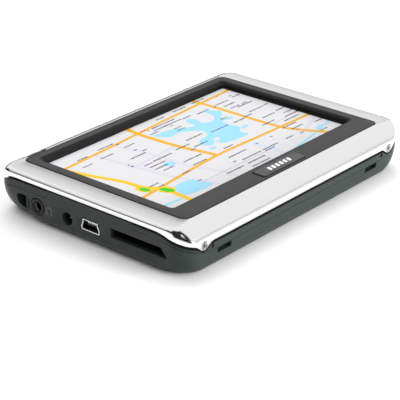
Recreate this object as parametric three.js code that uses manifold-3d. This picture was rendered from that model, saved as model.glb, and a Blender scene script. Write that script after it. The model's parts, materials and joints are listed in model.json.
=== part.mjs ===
// Portable GPS navigator: a 4.3 inch class map display in a silver front frame on a black housing.
// Millimetres, +Z up. The origin is the centre of the flat back, which lies on the table.
// +X runs along the long side (the ports are on the -X end) and +Y runs up the screen.
import * as THREE from "three";
import { mergeVertices } from "three/addons/utils/BufferGeometryUtils.js";
import Module from "manifold-3d";

const wasm = await Module();
wasm.setup();

// ---------------------------------------------------------------- driving dimensions
const BODY_LENGTH = 122;
const BODY_WIDTH = 86;
const BODY_HEIGHT = 17.8; // from the back to the rim round the screen
const CORNER_RADIUS = 7.5;
const GAP = 0.3; // between pieces that are fitted into each other

// Front frame: thin sheet, flat on the short sides and rounded over on the long ones.
const FRAME_SHEET = 1.1;
const FRAME_RIM_SHORT = 7.65; // from the outer edge to the surround, across a short side
const FRAME_RIM_LONG = 6.16; // the same across a long side
const FRAME_OPENING_RADIUS = 3;
const FRAME_LIP_DEPTH = 2.2;
const FRAME_EDGE_SHORT = 2.95; // depth of the lower edge on the short sides
const FRAME_EDGE_LONG = 7.5;
const EAR_X = 51.3;
const EAR_DROP = 2; // how far the ear round each side screw hangs below that edge
const EAR_REACH = 4.4;
const EAR_SCREW_DEPTH = 7.8;

// Screen surround and display.
const SURROUND_RIM = 3;
const SURROUND_DEPTH = 2.3;
const SCREEN_HALF_LENGTH = 48;
const SCREEN_HALF_WIDTH = 29.25;
const SCREEN_CENTRE_Y = 2.55;
const BADGE_LENGTH = 22.8;
const BADGE_WIDTH = 5.6;
const BADGE_THICKNESS = 1;
const BADGE_PROUD = 0.4;
const BADGE_Y = -32.8;
const TOUCH_TOP = 2.5; // depths below the rim
const TOUCH_THICKNESS = 1.1;
const LCD_TOP = 3.8;
const LCD_THICKNESS = 1.2;
const BACKLIGHT_TOP = 5.2;
const BACKLIGHT_THICKNESS = 1.8;

// Mid frame: the black band under the front frame, with the shelf that carries the display.
const BAND_INSET = 0.15;
const BAND_THICKNESS = 2.25;
const GROOVE_HEIGHT = 0.7; // dark gap under the front frame
const SHELF_TOP = 7.2;
const SHELF_BOTTOM = 8.2;
const SHELF_OPENING = [44, 29];

// Rear cover.
const WALL = 1.6;
const PARTING_SHORT = 5.8; // depth of the joint between band and cover
const PARTING_LONG = 11;
const PARTING_GAP = 0.1;
const PORT_FACE_INSET = 0.4;
const PORT_PANEL = { low: -20.5, high: 18 }; // where the cover rises to the front frame
// Where the port face starts to lean at each end, counted from the corner's arc, and over what length,
// with the way that the corner beside it curves under.
const STRAP_END = { start: -12, length: 11, reach: 7, drop: 12 };
const CARD_END = { start: -5, length: 8, reach: 4, drop: 10.8 };

// Sockets in the port face: place along Y and depth of each axis.
const HEADPHONE = { y: 22.7, depth: 10.95, bore: 1.8, ring: 3 };
const POWER_JACK = { y: 8.7, depth: 11.15, bore: 2.1, opening: 2.35 };
const USB = { y: -2, depth: 10.6, height: 4, top: 6.9, bottom: 8.2, sheet: 0.4 };
const CARD = { low: -35.3, high: -11, top: 8.4, bottom: 11.5, slant: 2.7 };
const STRAP = { y: 29.75, width: 6.1, depth: 11.15, height: 5.2, bar: 1.3, barY: 28.4 };

// Button in the notch of the upper long side.
const BUTTON_X = -46.05;
const BUTTON_NOTCH = 8.9;
const BUTTON_CLEARANCE = 0.3;
const BUTTON_SINK = 0.35; // how far the key lies below the frame's surface
const BUTTON_LEG_X = -45;

// Board and what stands on it.
const BOARD_TOP = 13.7;
const BOARD_THICKNESS = 1;
const BOARD = { left: -57.4, right: 14, half: 38 };
const RESET = { x: 4, y: -27 };

// Fasteners.
const REAR_SCREWS = [
  [-51.5, 31],
  [50.5, 34],
  [50.5, -34],
  [-22.5, -35.5],
];
const BOARD_SCREWS = [
  [-39, 32],
  [-44, -3.5],
  [10, -34],
  [9.5, 5],
];
const BOSS_RADIUS = 2.8;
const CRADLE_SLOTS = [-40.9, 40.9];
const CRADLE_SLOT = { length: 6.9, height: 2, floor: 40.6 };
const LATCH_SLOT_LENGTH = 10;
const SIDE_PIT = { x: 47.1, depth: 9.4, radius: 0.8, sink: 0.7 }; // beside each lower ear
const SPEAKER = { x: 38, y: -18, radius: 13.5 };
const LABEL = { x: -16, y: 6, length: 52, width: 26, recess: 0.3 };

const HALF_LENGTH = BODY_LENGTH / 2;
const HALF_WIDTH = BODY_WIDTH / 2;
const ARC_LENGTH = (Math.PI / 2) * CORNER_RADIUS;
const OUTSIDE = 10; // how far cutting tools reach past what they cut

// ---------------------------------------------------------------- materials
const finish = (color, roughness, metalness) => ({ color, roughness, metalness });
const SILVER = finish(0xd6d6d4, 0.25, 0.9);
const SURROUND_BLACK = finish(0x454743, 0.55, 0);
const HOUSING_BLACK = finish(0x2f3431, 0.5, 0);
const BADGE_GREY = finish(0x4c4d4c, 0.35, 0.2);
const SCREEN_GLASS = finish(0xe7e4ee, 0.15, 0);
const LIGHT_GUIDE = finish(0xc9cdd2, 0.4, 0.6);
const FLEX_AMBER = finish(0xb8741e, 0.45, 0);
const BOARD_GREEN = finish(0x1f5a35, 0.5, 0);
const CHIP_BLACK = finish(0x1b1c1e, 0.6, 0);
const TINPLATE = finish(0xc2c4c6, 0.3, 1);
const STEEL = finish(0xa9abad, 0.3, 1);
const CERAMIC = finish(0xb9b2a0, 0.7, 0);
const CONTACT_GOLD = finish(0xc9a24a, 0.3, 1);
const SOCKET_BLACK = finish(0x151617, 0.55, 0);
const BATTERY_FOIL = finish(0xb4b7ba, 0.4, 0.7);
const FOAM = finish(0x26272a, 0.95, 0);
const CONE_BLACK = finish(0x202022, 0.8, 0);
const LEAD_RED = finish(0x9a1f1c, 0.5, 0);
const LABEL_GREY = finish(0x9fa3a2, 0.6, 0);
const NYLON_WHITE = finish(0xd8d6cd, 0.6, 0);

// ---------------------------------------------------------------- small helpers
const mix = (a, b, t) => a + (b - a) * t;
const clamp01 = (t) => Math.min(1, Math.max(0, t));
const smoothstep = (t) => clamp01(t) ** 2 * (3 - 2 * clamp01(t));
const below = (depth) => BODY_HEIGHT - depth;
const steps = (count) => Array.from({ length: count }, (_, i) => i);

function signedVolume(geometry) {
  const position = geometry.getAttribute("position");
  const corner = (i) => new THREE.Vector3().fromBufferAttribute(position, geometry.index.getX(i));
  let total = 0;
  for (let i = 0; i < geometry.index.count; i += 3) {
    total += corner(i).dot(corner(i + 1).cross(corner(i + 2)));
  }
  return total / 6;
}

// A manifold solid of a closed three.js geometry, whichever way its faces were wound.
function solid(source) {
  const bare = new THREE.BufferGeometry();
  bare.setAttribute("position", source.getAttribute("position"));
  bare.setIndex(source.index);
  const merged = mergeVertices(bare, 1e-5);
  const triVerts = new Uint32Array(merged.index.array);
  if (signedVolume(merged) < 0) triVerts.reverse();
  const vertProperties = merged.getAttribute("position").array;
  return new wasm.Manifold(new wasm.Mesh({ numProp: 3, vertProperties, triVerts }));
}

function geometryOf(piece) {
  const mesh = piece.getMesh();
  const geometry = new THREE.BufferGeometry();
  geometry.setAttribute("position", new THREE.BufferAttribute(mesh.vertProperties, 3));
  geometry.setIndex(new THREE.BufferAttribute(mesh.triVerts, 1));
  return geometry;
}

const joined = (first, ...others) => others.reduce((sum, piece) => sum.add(piece), first);
const cutBy = (first, ...tools) => tools.reduce((rest, tool) => rest.subtract(tool), first);

// A block between two corners; z is given as depths below the rim.
function block([x0, x1], [y0, y1], [top, bottom]) {
  const box = new THREE.BoxGeometry(x1 - x0, y1 - y0, bottom - top);
  return solid(box.translate((x0 + x1) / 2, (y0 + y1) / 2, below((top + bottom) / 2)));
}

// A round bar along an axis, from one coordinate to another on it.
function bar(axis, [x, y, z], radius, from, to, sides = 18) {
  const cylinder = new THREE.CylinderGeometry(radius, radius, Math.abs(to - from), sides);
  const middle = (from + to) / 2;
  if (axis === "x") cylinder.rotateZ(Math.PI / 2).translate(middle, y, z);
  if (axis === "y") cylinder.translate(x, middle, z);
  if (axis === "z") cylinder.rotateX(Math.PI / 2).translate(x, y, middle);
  return solid(cylinder);
}

const post = (x, y, radius, top, bottom, sides = 16) =>
  bar("z", [x, y, 0], radius, below(bottom), below(top), sides);

// An outline in the XY plane, raised between two depths.
function plate(shape, top, bottom, curveSegments = 6) {
  const options = { depth: bottom - top, bevelEnabled: false, curveSegments };
  return solid(new THREE.ExtrudeGeometry(shape, options).translate(0, 0, below(bottom)));
}

// An outline drawn in (y, z), stretched along X.
function beamAlongX(shape, from, to, curveSegments = 6) {
  const options = { depth: to - from, bevelEnabled: false, curveSegments };
  const beam = new THREE.ExtrudeGeometry(shape, options);
  beam.rotateX(Math.PI / 2).rotateZ(Math.PI / 2);
  return solid(beam.translate(from, 0, 0));
}

// An outline drawn in (x, z), stretched along Y.
function beamAlongY(shape, from, to, curveSegments = 6) {
  const options = { depth: to - from, bevelEnabled: false, curveSegments };
  const beam = new THREE.ExtrudeGeometry(shape, options).rotateX(Math.PI / 2);
  return solid(beam.translate(0, to, 0));
}

function outline(points) {
  return new THREE.Shape(points.map(([a, b]) => new THREE.Vector2(a, b)));
}

function roundedRectangle(x, y, length, width, radius) {
  const shape = new THREE.Shape();
  const [a, b] = [length / 2 - radius, width / 2 - radius];
  shape.absarc(x + a, y + b, radius, 0, Math.PI / 2);
  shape.absarc(x - a, y + b, radius, Math.PI / 2, Math.PI);
  shape.absarc(x - a, y - b, radius, Math.PI, 1.5 * Math.PI);
  shape.absarc(x + a, y - b, radius, 1.5 * Math.PI, 2 * Math.PI);
  return shape;
}

// A turned solid about the Z axis; the profile is [radius, depth] and starts and ends on the axis.
function turned(profile, x, y, sides = 24) {
  const points = profile.map(([radius, depth]) => new THREE.Vector2(radius, below(depth)));
  const lathe = new THREE.LatheGeometry(points, sides).rotateX(Math.PI / 2);
  return solid(lathe.translate(x, y, 0));
}

// ---------------------------------------------------------------- stations round the perimeter
// A station is a place on a rounded rectangle, independent of the rectangle's size, so that the same
// station lies on the outline, on the opening and on every level between them.
const QUADRANTS = [
  [1, 1],
  [-1, 1],
  [-1, -1],
  [1, -1],
];

function cornerPoint(quadrant, angle, halfX, halfY, radius, centreY) {
  const [signX, signY] = QUADRANTS[quadrant % 4];
  return [
    signX * (halfX - radius) + radius * Math.cos(angle),
    centreY + signY * (halfY - radius) + radius * Math.sin(angle),
  ];
}

// Distances from a corner arc at which the straight sides get a station.
const SHORT_MARKS = [1.5, 3, 5, 9];
const LONG_MARKS = [0.8, 1.6, 2.5, 3.4, 4.4, 5.6, 6.8];

function makeStations(arcSteps, shortMarks, longMarks) {
  const stations = [];
  for (const q of steps(4)) {
    const startsShort = q % 2 === 0;
    for (const i of steps(arcSteps + 1)) {
      const t = i / arcSteps;
      const angle = ((q + t) * Math.PI) / 2;
      const sweep = startsShort ? t : 1 - t; // 0 at the short side, 1 at the long side
      stations.push({
        progress: sweep * ARC_LENGTH,
        left: q === 1 || q === 2,
        place: (hx, hy, r, cy = 0) => cornerPoint(q, angle, hx, hy, r, cy),
      });
    }
    const onLong = startsShort;
    const span = 2 * ((onLong ? HALF_LENGTH : HALF_WIDTH) - CORNER_RADIUS);
    const marks = onLong ? longMarks : shortMarks;
    const places = [...marks, span / 2, ...marks.map((m) => span - m).reverse()];
    const turn = ((q + 1) * Math.PI) / 2;
    for (const distance of places) {
      const nearest = Math.min(distance, span - distance);
      const fraction = distance / span;
      stations.push({
        progress: onLong ? ARC_LENGTH + nearest : -nearest,
        left: q === 1 || (onLong && fraction > 0.5 && q === 0) || (q === 2 && fraction < 0.5),
        place: (hx, hy, r, cy = 0) => {
          const a = cornerPoint(q, turn, hx, hy, r, cy);
          const b = cornerPoint(q + 1, turn, hx, hy, r, cy);
          return [mix(a[0], b[0], fraction), mix(a[1], b[1], fraction)];
        },
      });
    }
  }
  return stations;
}

const bodyStations = makeStations(7, SHORT_MARKS, LONG_MARKS);
const innerStations = makeStations(4, [], []);

// Joins loops of points, one loop per level. A ring closes on its first loop; otherwise both ends
// are capped from their middles.
function loft(loops, isRing) {
  const count = loops[0].length;
  const vertices = loops.flat();
  const faces = [];
  const bands = isRing ? loops.length : loops.length - 1;
  for (const level of steps(bands)) {
    const next = (level + 1) % loops.length;
    for (const i of steps(count)) {
      const j = (i + 1) % count;
      const [a, b] = [level * count + i, level * count + j];
      const [c, d] = [next * count + j, next * count + i];
      faces.push(a, b, c, a, c, d);
    }
  }
  if (!isRing) {
    const lastLoop = (loops.length - 1) * count;
    const first = vertices.push([0, 0, loops[0][0][2]]) - 1;
    const last = vertices.push([0, 0, loops.at(-1)[0][2]]) - 1;
    for (const i of steps(count)) {
      const j = (i + 1) % count;
      faces.push(first, j, i, last, lastLoop + i, lastLoop + j);
    }
  }
  const geometry = new THREE.BufferGeometry();
  geometry.setAttribute("position", new THREE.Float32BufferAttribute(vertices.flat(), 3));
  geometry.setIndex(faces);
  return solid(geometry);
}

// How far a station has gone from the short side (0) to the long side (1).
const sideBlend = (station) => smoothstep(station.progress / ARC_LENGTH);
// The same for the lower edge of the front frame and for the parting line, which turn more slowly.
const edgeBlend = (station) => smoothstep((station.progress + 5) / 18.5);
const partingBlend = (station) => smoothstep((station.progress + 3) / 22);
// The ear: 1 at a side screw, falling smoothly to 0.
function earBlend(station) {
  const ear = ARC_LENGTH + HALF_LENGTH - CORNER_RADIUS - EAR_X;
  const away = Math.min(1, Math.abs(station.progress - ear) / EAR_REACH);
  return 0.5 + 0.5 * Math.cos(Math.PI * away);
}

const frameEdge = (station) =>
  mix(FRAME_EDGE_SHORT, FRAME_EDGE_LONG, edgeBlend(station)) + EAR_DROP * earBlend(station);
const parting = (station) => mix(PARTING_SHORT, PARTING_LONG, partingBlend(station));

// A point at an equal distance inside the body's outline.
function inside(station, distance, depth, extraRadius = 0) {
  const radius = Math.max(FRAME_OPENING_RADIUS, CORNER_RADIUS - 0.6 * distance) + extraRadius;
  const [x, y] = station.place(HALF_LENGTH - distance, HALF_WIDTH - distance, radius);
  return [x, y, below(depth)];
}

// A loop at one level of a section: the section gives [distance, depth] pairs for a station.
const loopsOf = (stations, section) => {
  const sections = stations.map((station) => section(station));
  return sections[0].map((_, level) => sections.map((points) => points[level]));
};

// ---------------------------------------------------------------- front frame
// The outer curve of the frame's section: reach inwards, drop, and depth where it starts.
const frameCurve = (station) => {
  const s = sideBlend(station);
  return { reach: mix(1.5, 6, s), drop: mix(1.5, 5.8, s), start: mix(0.45, 0.2, s) };
};

function openingPoint(station, distance, depth) {
  const halfX = HALF_LENGTH - FRAME_RIM_SHORT + distance;
  const halfY = HALF_WIDTH - FRAME_RIM_LONG + distance;
  const radius = FRAME_OPENING_RADIUS + distance;
  const [x, y] = station.place(halfX, halfY, radius);
  return [x, y, below(depth)];
}

function frameSection(station) {
  const { reach, drop, start } = frameCurve(station);
  const lowest = frameEdge(station);
  const rim = mix(FRAME_RIM_SHORT, FRAME_RIM_LONG, sideBlend(station));
  const curveSteps = 6;
  const sheet = FRAME_SHEET;
  const outer = steps(curveSteps + 1).map((k) => {
    const angle = (k / curveSteps) * (Math.PI / 2);
    return inside(station, reach * (1 - Math.sin(angle)), start + drop * (1 - Math.cos(angle)));
  });
  const first = Math.asin(clamp01((reach - rim + sheet) / (reach - sheet)));
  const inner = steps(curveSteps).map((k) => {
    const angle = mix(first, Math.PI / 2, (k + 1) / curveSteps);
    const distance = reach - (reach - sheet) * Math.sin(angle);
    return inside(station, distance, start + drop - (drop - sheet) * Math.cos(angle));
  });
  return [
    openingPoint(station, 0, FRAME_LIP_DEPTH),
    openingPoint(station, 0, 0.15),
    ...outer,
    inside(station, 0, lowest),
    inside(station, sheet, lowest),
    ...inner.reverse(),
    openingPoint(station, sheet, start + sheet + 0.1),
    openingPoint(station, sheet, FRAME_LIP_DEPTH),
  ];
}

// The four corners of the body, as signs of X and Y.
const CORNERS = [
  [-1, -1],
  [1, -1],
  [-1, 1],
  [1, 1],
];

// A countersunk screw along Y: head and shank radii, grown for the hole that it goes through.
function earScrew(signX, signY, growth) {
  const at = [signX * EAR_X, 0, below(EAR_SCREW_DEPTH)];
  const face = signY * (HALF_WIDTH - 0.05);
  const head = new THREE.CylinderGeometry(1.3 + growth, 0.65 + growth, 1, 18);
  if (signY < 0) head.rotateX(Math.PI);
  head.translate(at[0], face - signY * 0.5, at[2]);
  const tip = signY * (HALF_WIDTH - (growth > 0 ? 3.9 : 3.6));
  const screw = joined(solid(head), bar("y", at, 0.65 + growth, face - signY * 0.9, tip, 18));
  return growth > 0 ? joined(screw, bar("y", at, 1.3 + growth, face, signY * OUTSIDE * 5)) : screw;
}

function screwSlots(signX, signY) {
  const at = [signX * EAR_X, signY * HALF_WIDTH, below(EAR_SCREW_DEPTH)];
  const half = 0.75;
  const [x, y, z] = at;
  const tools = [
    new THREE.BoxGeometry(2 * half, 1, 0.35).translate(x, y, z),
    new THREE.BoxGeometry(0.35, 1, 2 * half).translate(x, y, z),
  ];
  return tools.map(solid);
}

function buttonNotch(margin, depth) {
  const half = BUTTON_NOTCH / 2 + margin;
  return block([BUTTON_X - half, BUTTON_X + half], [36.6, HALF_WIDTH + OUTSIDE], [-OUTSIDE, depth]);
}

function makeFrontFrame() {
  let frame = loft(loopsOf(bodyStations, frameSection), true);
  for (const [sx, sy] of CORNERS) {
    frame = cutBy(frame, earScrew(sx, sy, 0.25));
  }
  return cutBy(frame, buttonNotch(0, 5.5));
}

// ---------------------------------------------------------------- screen surround and badge
function surroundSection(station) {
  const outerX = HALF_LENGTH - FRAME_RIM_SHORT - GAP;
  const outerY = HALF_WIDTH - FRAME_RIM_LONG - GAP;
  const at = (hx, hy, r, cy, depth) => {
    const [x, y] = station.place(hx, hy, r, cy);
    return [x, y, below(depth)];
  };
  const opening = (grow, depth) =>
    at(SCREEN_HALF_LENGTH + grow, SCREEN_HALF_WIDTH + grow, 1 + grow * 0.6, SCREEN_CENTRE_Y, depth);
  return [
    at(outerX, outerY, FRAME_OPENING_RADIUS - GAP, 0, SURROUND_DEPTH),
    at(outerX, outerY, FRAME_OPENING_RADIUS - GAP, 0, 0),
    opening(2.05, 0),
    opening(1.1, 0.35),
    opening(0.45, 1),
    opening(0, SURROUND_DEPTH),
  ];
}

const badgeOutline = (margin) =>
  roundedRectangle(0, BADGE_Y, BADGE_LENGTH + margin, BADGE_WIDTH + margin, 1 + margin / 2);

function makeScreenSurround() {
  const ring = loft(loopsOf(innerStations, surroundSection), true);
  const outerX = HALF_LENGTH - FRAME_RIM_SHORT - GAP;
  const between = (side, a, b) => [side * a, side * b].sort((p, q) => p - q);
  const flangeTop = FRAME_LIP_DEPTH + GAP;
  const flanges = [-1, 1].flatMap((side) => [
    block(between(side, outerX - 1.1, outerX), [-30, 30], [SURROUND_DEPTH - 0.4, flangeTop + 0.4]),
    block(between(side, outerX - 1.1, outerX + 2), [-30, 30], [flangeTop, flangeTop + 0.8]),
  ]);
  const pocket = plate(badgeOutline(2 * GAP), -OUTSIDE, BADGE_THICKNESS - BADGE_PROUD + 0.1);
  return cutBy(joined(ring, ...flanges), pocket);
}

const makeBadge = () => plate(badgeOutline(0), -BADGE_PROUD, BADGE_THICKNESS - BADGE_PROUD);

// ---------------------------------------------------------------- mid frame
function bandSection(station) {
  const s = sideBlend(station);
  const top = frameEdge(station) + mix(GROOVE_HEIGHT, 0.3, earBlend(station));
  const bottom = parting(station) - PARTING_GAP / 2;
  const back = BAND_INSET + BAND_THICKNESS;
  const post = back + 1;
  const wallTop = mix(2.8, 5, s);
  const ribBottom = mix(SHELF_BOTTOM + 0.05, SHELF_BOTTOM + 1, s);
  const shelf = (depth) => {
    const [x, y] = station.place(SHELF_OPENING[0], SHELF_OPENING[1], 3, 0);
    return [x, y, below(depth)];
  };
  return [
    inside(station, BAND_INSET, top),
    inside(station, BAND_INSET, bottom),
    inside(station, back, bottom),
    inside(station, back, ribBottom),
    inside(station, post, ribBottom),
    inside(station, post + 0.01, SHELF_BOTTOM),
    shelf(SHELF_BOTTOM),
    shelf(SHELF_TOP),
    inside(station, post, SHELF_TOP),
    inside(station, post, wallTop),
    inside(station, FRAME_SHEET + 0.35, wallTop),
    inside(station, FRAME_SHEET + 0.35, top),
  ];
}

function makeMidFrame() {
  let frame = loft(loopsOf(bodyStations, bandSection), true);
  const portNotch = [PORT_PANEL.low - 0.35, PORT_PANEL.high + 0.35];
  frame = cutBy(frame, block([-HALF_LENGTH - 1, 2.35 - HALF_LENGTH], portNotch, [2, 6.3]));
  for (const [sx, sy] of CORNERS) {
    const blockY = [sy * (HALF_WIDTH - 2.2), sy * (HALF_WIDTH - 4.6)].sort((a, b) => a - b);
    const boss = block([sx * EAR_X - 2.3, sx * EAR_X + 2.3], blockY, [6, EAR_SCREW_DEPTH + 2]);
    frame = joined(frame, boss);
  }
  for (const [sx, sy] of CORNERS) {
    frame = cutBy(frame, earScrew(sx, sy, 0.25));
  }
  for (const [x, y] of REAR_SCREWS) {
    frame = joined(frame, post(x, y, BOSS_RADIUS, SHELF_TOP + 0.2, SHELF_BOTTOM + 2.6));
    frame = cutBy(frame, post(x, y, 1.25, SHELF_TOP + 0.6, SHELF_BOTTOM + OUTSIDE, 12));
  }
  frame = cutBy(frame, buttonNotch(0.3, 5.8));
  const legSlot = [BUTTON_LEG_X - 2, BUTTON_LEG_X + 2];
  frame = cutBy(frame, block(legSlot, [36.9, 39.65], [SHELF_TOP - 0.5, SHELF_BOTTOM + 1.5]));
  const barrel = bar(
    "x",
    [0, HEADPHONE.y, below(HEADPHONE.depth)],
    HEADPHONE.ring + GAP,
    -HALF_LENGTH - 1,
    4 - HALF_LENGTH,
  );
  const pits = [-1, 1].map((side) => {
    const at = [side * SIDE_PIT.x, 0, below(SIDE_PIT.depth)];
    const floor = SIDE_PIT.sink + BAND_INSET - HALF_WIDTH;
    return bar("y", at, SIDE_PIT.radius, -HALF_WIDTH - 1, floor, 12);
  });
  const flexWindow = block([-17, -11], [-33.4, -28], [SHELF_TOP - 0.5, SHELF_BOTTOM + 0.5]);
  return cutBy(frame, barrel, flexWindow, ...pits);
}

// ---------------------------------------------------------------- rear cover
// The cover's outer wall curves under to the flat back. On the port face it stays upright.
function coverCurve(station) {
  const long = sideBlend(station);
  const [x, y] = station.place(HALF_LENGTH, HALF_WIDTH, CORNER_RADIUS);
  const end = x < 0 && y > 0 ? STRAP_END : CARD_END;
  const upright = station.left ? 1 - smoothstep((station.progress - end.start) / end.length) : 0;
  return {
    base: mix(BAND_INSET, PORT_FACE_INSET, upright),
    reach: mix(mix(end.reach, 2.8, long), 4, upright),
    drop: mix(mix(end.drop, 9.5, long), 4.4, upright),
    swell: mix(4, 0, upright),
  };
}

function coverPoint(station, wall, angle) {
  const { base, reach, drop, swell } = coverCurve(station);
  const inset = reach * (1 - Math.cos(angle));
  const depth = BODY_HEIGHT - drop + (drop - wall) * Math.sin(angle);
  return inside(station, base + wall + inset, depth, swell * (1 - Math.cos(angle)));
}

// One face of the cover's wall, from the joint down to the flat back.
function coverWall(station, wall) {
  const { drop } = coverCurve(station);
  const top = parting(station) + PARTING_GAP / 2;
  const curveSteps = 5;
  const start = Math.asin(clamp01((top - BODY_HEIGHT + drop) / (drop - wall)));
  const curve = steps(curveSteps).map((k) => {
    return coverPoint(station, wall, mix(start, Math.PI / 2, (k + 1) / curveSteps));
  });
  const edge = coverPoint(station, wall, start);
  edge[2] = below(top);
  return [edge, ...curve];
}

const coverOutside = (station) => coverWall(station, 0).reverse();
const coverSection = (station) => [...coverOutside(station), ...coverWall(station, WALL)];

// Trapezium of the mini USB shell in (y, z), wider at the bottom.
function usbOutline(growth) {
  const [top, bottom] = [USB.top / 2 + growth, USB.bottom / 2 + growth];
  const half = USB.height / 2 + growth;
  const z = below(USB.depth);
  return outline([
    [USB.y - bottom, z - half],
    [USB.y + bottom, z - half],
    [USB.y + bottom, z - half * 0.25],
    [USB.y + top, z + half * 0.45],
    [USB.y + top, z + half],
    [USB.y - top, z + half],
    [USB.y - top, z + half * 0.45],
    [USB.y - bottom, z - half * 0.25],
  ]);
}

const cardOutline = () =>
  outline([
    [CARD.high, below(CARD.top)],
    [CARD.low + CARD.slant, below(CARD.top)],
    [CARD.low, below(CARD.bottom - 0.3)],
    [CARD.low + 0.3, below(CARD.bottom)],
    [CARD.high, below(CARD.bottom)],
  ]);

// Pocket with a bar across its mouth for the wrist strap.
function strapPocket() {
  const half = STRAP.width / 2;
  const rise = STRAP.height / 2;
  const shape = roundedRectangle(STRAP.y, below(STRAP.depth), 2 * half, 2 * rise, rise * 0.7);
  const hollow = beamAlongX(shape, -HALF_LENGTH - 2, 4.6 - HALF_LENGTH);
  const strapBar = bar(
    "z",
    [PORT_FACE_INSET + 1.3 - HALF_LENGTH, STRAP.barY, 0],
    STRAP.bar / 2,
    below(STRAP.depth + rise + 1),
    below(STRAP.depth - rise - 1),
    10,
  );
  return cutBy(hollow, strapBar);
}

function portOpenings() {
  const outside = -HALF_LENGTH - 2;
  const within = 3 - HALF_LENGTH;
  const hole = (port, radius) => bar("x", [0, port.y, below(port.depth)], radius, outside, within);
  return [
    hole(HEADPHONE, HEADPHONE.ring + 0.15),
    hole(POWER_JACK, POWER_JACK.opening),
    beamAlongX(usbOutline(GAP), outside, within),
    beamAlongX(cardOutline(), outside, within),
    strapPocket(),
  ];
}

const cradleCut = (x, length, side) => {
  const top = PARTING_LONG + 0.15;
  const ends = [side * CRADLE_SLOT.floor, side * (HALF_WIDTH + 1)].sort((a, b) => a - b);
  return block([x - length / 2, x + length / 2], ends, [top, top + CRADLE_SLOT.height]);
};

const cradlePad = (x, length, side) => {
  const ends = [side * 39.2, side * 41.8].sort((a, b) => a - b);
  return block([x - length / 2 - 1, x + length / 2 + 1], ends, [PARTING_LONG + 0.1, 14]);
};

function grilleSlots() {
  const count = 5;
  const pitch = 3.4;
  return steps(count).map((i) => {
    const offset = (i - (count - 1) / 2) * pitch;
    const length = 18 - Math.abs(offset) * 0.7;
    const slot = roundedRectangle(SPEAKER.x, SPEAKER.y + offset, length, 1.5, 0.74);
    return plate(slot, BODY_HEIGHT - WALL - 1, BODY_HEIGHT + 1, 4);
  });
}

function makeRearCover() {
  const floor = BODY_HEIGHT - WALL;
  let cover = loft(loopsOf(bodyStations, coverSection), false);
  const panelX = [PORT_FACE_INSET - HALF_LENGTH, PORT_FACE_INSET + 1.6 - HALF_LENGTH];
  const rise = PARTING_SHORT + 0.6;
  const panelTop = FRAME_EDGE_SHORT + GROOVE_HEIGHT;
  const envelope = loft(loopsOf(bodyStations, coverOutside), false);
  const strapX = [1.2 - HALF_LENGTH, 5.8 - HALF_LENGTH];
  const strapBlock = block(strapX, [25.4, 33.6], [SHELF_BOTTOM + 0.3, floor + 0.2]);
  cover = joined(
    cover,
    block(panelX, [PORT_PANEL.low, PORT_PANEL.high], [panelTop, rise]),
    strapBlock.intersect(envelope),
    ...CRADLE_SLOTS.map((x) => cradlePad(x, CRADLE_SLOT.length, -1)),
    cradlePad(0, LATCH_SLOT_LENGTH, 1),
    ...REAR_SCREWS.map(([x, y]) => post(x, y, BOSS_RADIUS, SHELF_BOTTOM + 2.9, floor + 0.5)),
    ...BOARD_SCREWS.map(([x, y]) => post(x, y, 2.4, BOARD_TOP + BOARD_THICKNESS + 0.05, floor + 0.5)),
  );
  const label = roundedRectangle(LABEL.x, LABEL.y, LABEL.length, LABEL.width, 1.5);
  return cutBy(
    cover,
    ...portOpenings(),
    ...CRADLE_SLOTS.map((x) => cradleCut(x, CRADLE_SLOT.length, -1)),
    cradleCut(0, LATCH_SLOT_LENGTH, 1),
    ...REAR_SCREWS.map(([x, y]) => post(x, y, 1.3, SHELF_BOTTOM, BODY_HEIGHT + 1, 14)),
    ...REAR_SCREWS.map(([x, y]) => post(x, y, 2.4, BODY_HEIGHT - 2.4, BODY_HEIGHT + 1)),
    ...BOARD_SCREWS.map(([x, y]) => post(x, y, 1.1, BOARD_TOP, BODY_HEIGHT - 0.7, 12)),
    post(RESET.x, RESET.y, 1.1, floor - 1, BODY_HEIGHT + 1, 14),
    plate(label, BODY_HEIGHT - LABEL.recess, BODY_HEIGHT + 1),
    ...grilleSlots(),
  );
}

const makeRearLabel = () =>
  plate(
    roundedRectangle(LABEL.x, LABEL.y, LABEL.length - 0.6, LABEL.width - 0.6, 1.3),
    BODY_HEIGHT - LABEL.recess + 0.04,
    BODY_HEIGHT - 0.06,
  );

// ---------------------------------------------------------------- display stack
const panel = (length, width, radius, top, thickness) =>
  plate(roundedRectangle(0, SCREEN_CENTRE_Y, length, width, radius), top, top + thickness, 3);

// A ribbon in a YZ path, given as [y, depth] points down its middle.
function ribbon(path, x, width, thickness) {
  const curve = new THREE.CatmullRomCurve3(path.map(([y, d]) => new THREE.Vector3(x, y, below(d))));
  const half = [width / 2, thickness / 2];
  const section = outline([
    [-half[0], -half[1]],
    [half[0], -half[1]],
    [half[0], half[1]],
    [-half[0], half[1]],
  ]);
  const count = 10;
  const loops = steps(count + 1).map((i) => {
    const centre = curve.getPoint(i / count);
    const along = curve.getTangent(i / count);
    const across = new THREE.Vector3(0, -along.z, along.y);
    return section.getPoints(1).map(({ x: u, y: v }) => {
      return [centre.x + u, centre.y + across.y * v, centre.z + across.z * v];
    });
  });
  return capped(loops);
}

// Loops of points joined along a path, each end closed by a fan from its first corner.
function capped(loops) {
  const count = loops[0].length;
  const faces = [];
  for (const level of steps(loops.length - 1)) {
    for (const i of steps(count)) {
      const j = (i + 1) % count;
      const [a, b] = [level * count + i, level * count + j];
      faces.push(a, b, b + count, a, b + count, a + count);
    }
  }
  const last = (loops.length - 1) * count;
  for (let i = 1; i < count - 1; i += 1) {
    faces.push(0, i + 1, i, last, last + i, last + i + 1);
  }
  const geometry = new THREE.BufferGeometry();
  geometry.setAttribute("position", new THREE.Float32BufferAttribute(loops.flat(2), 3));
  geometry.setIndex(faces);
  return solid(geometry);
}

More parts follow.
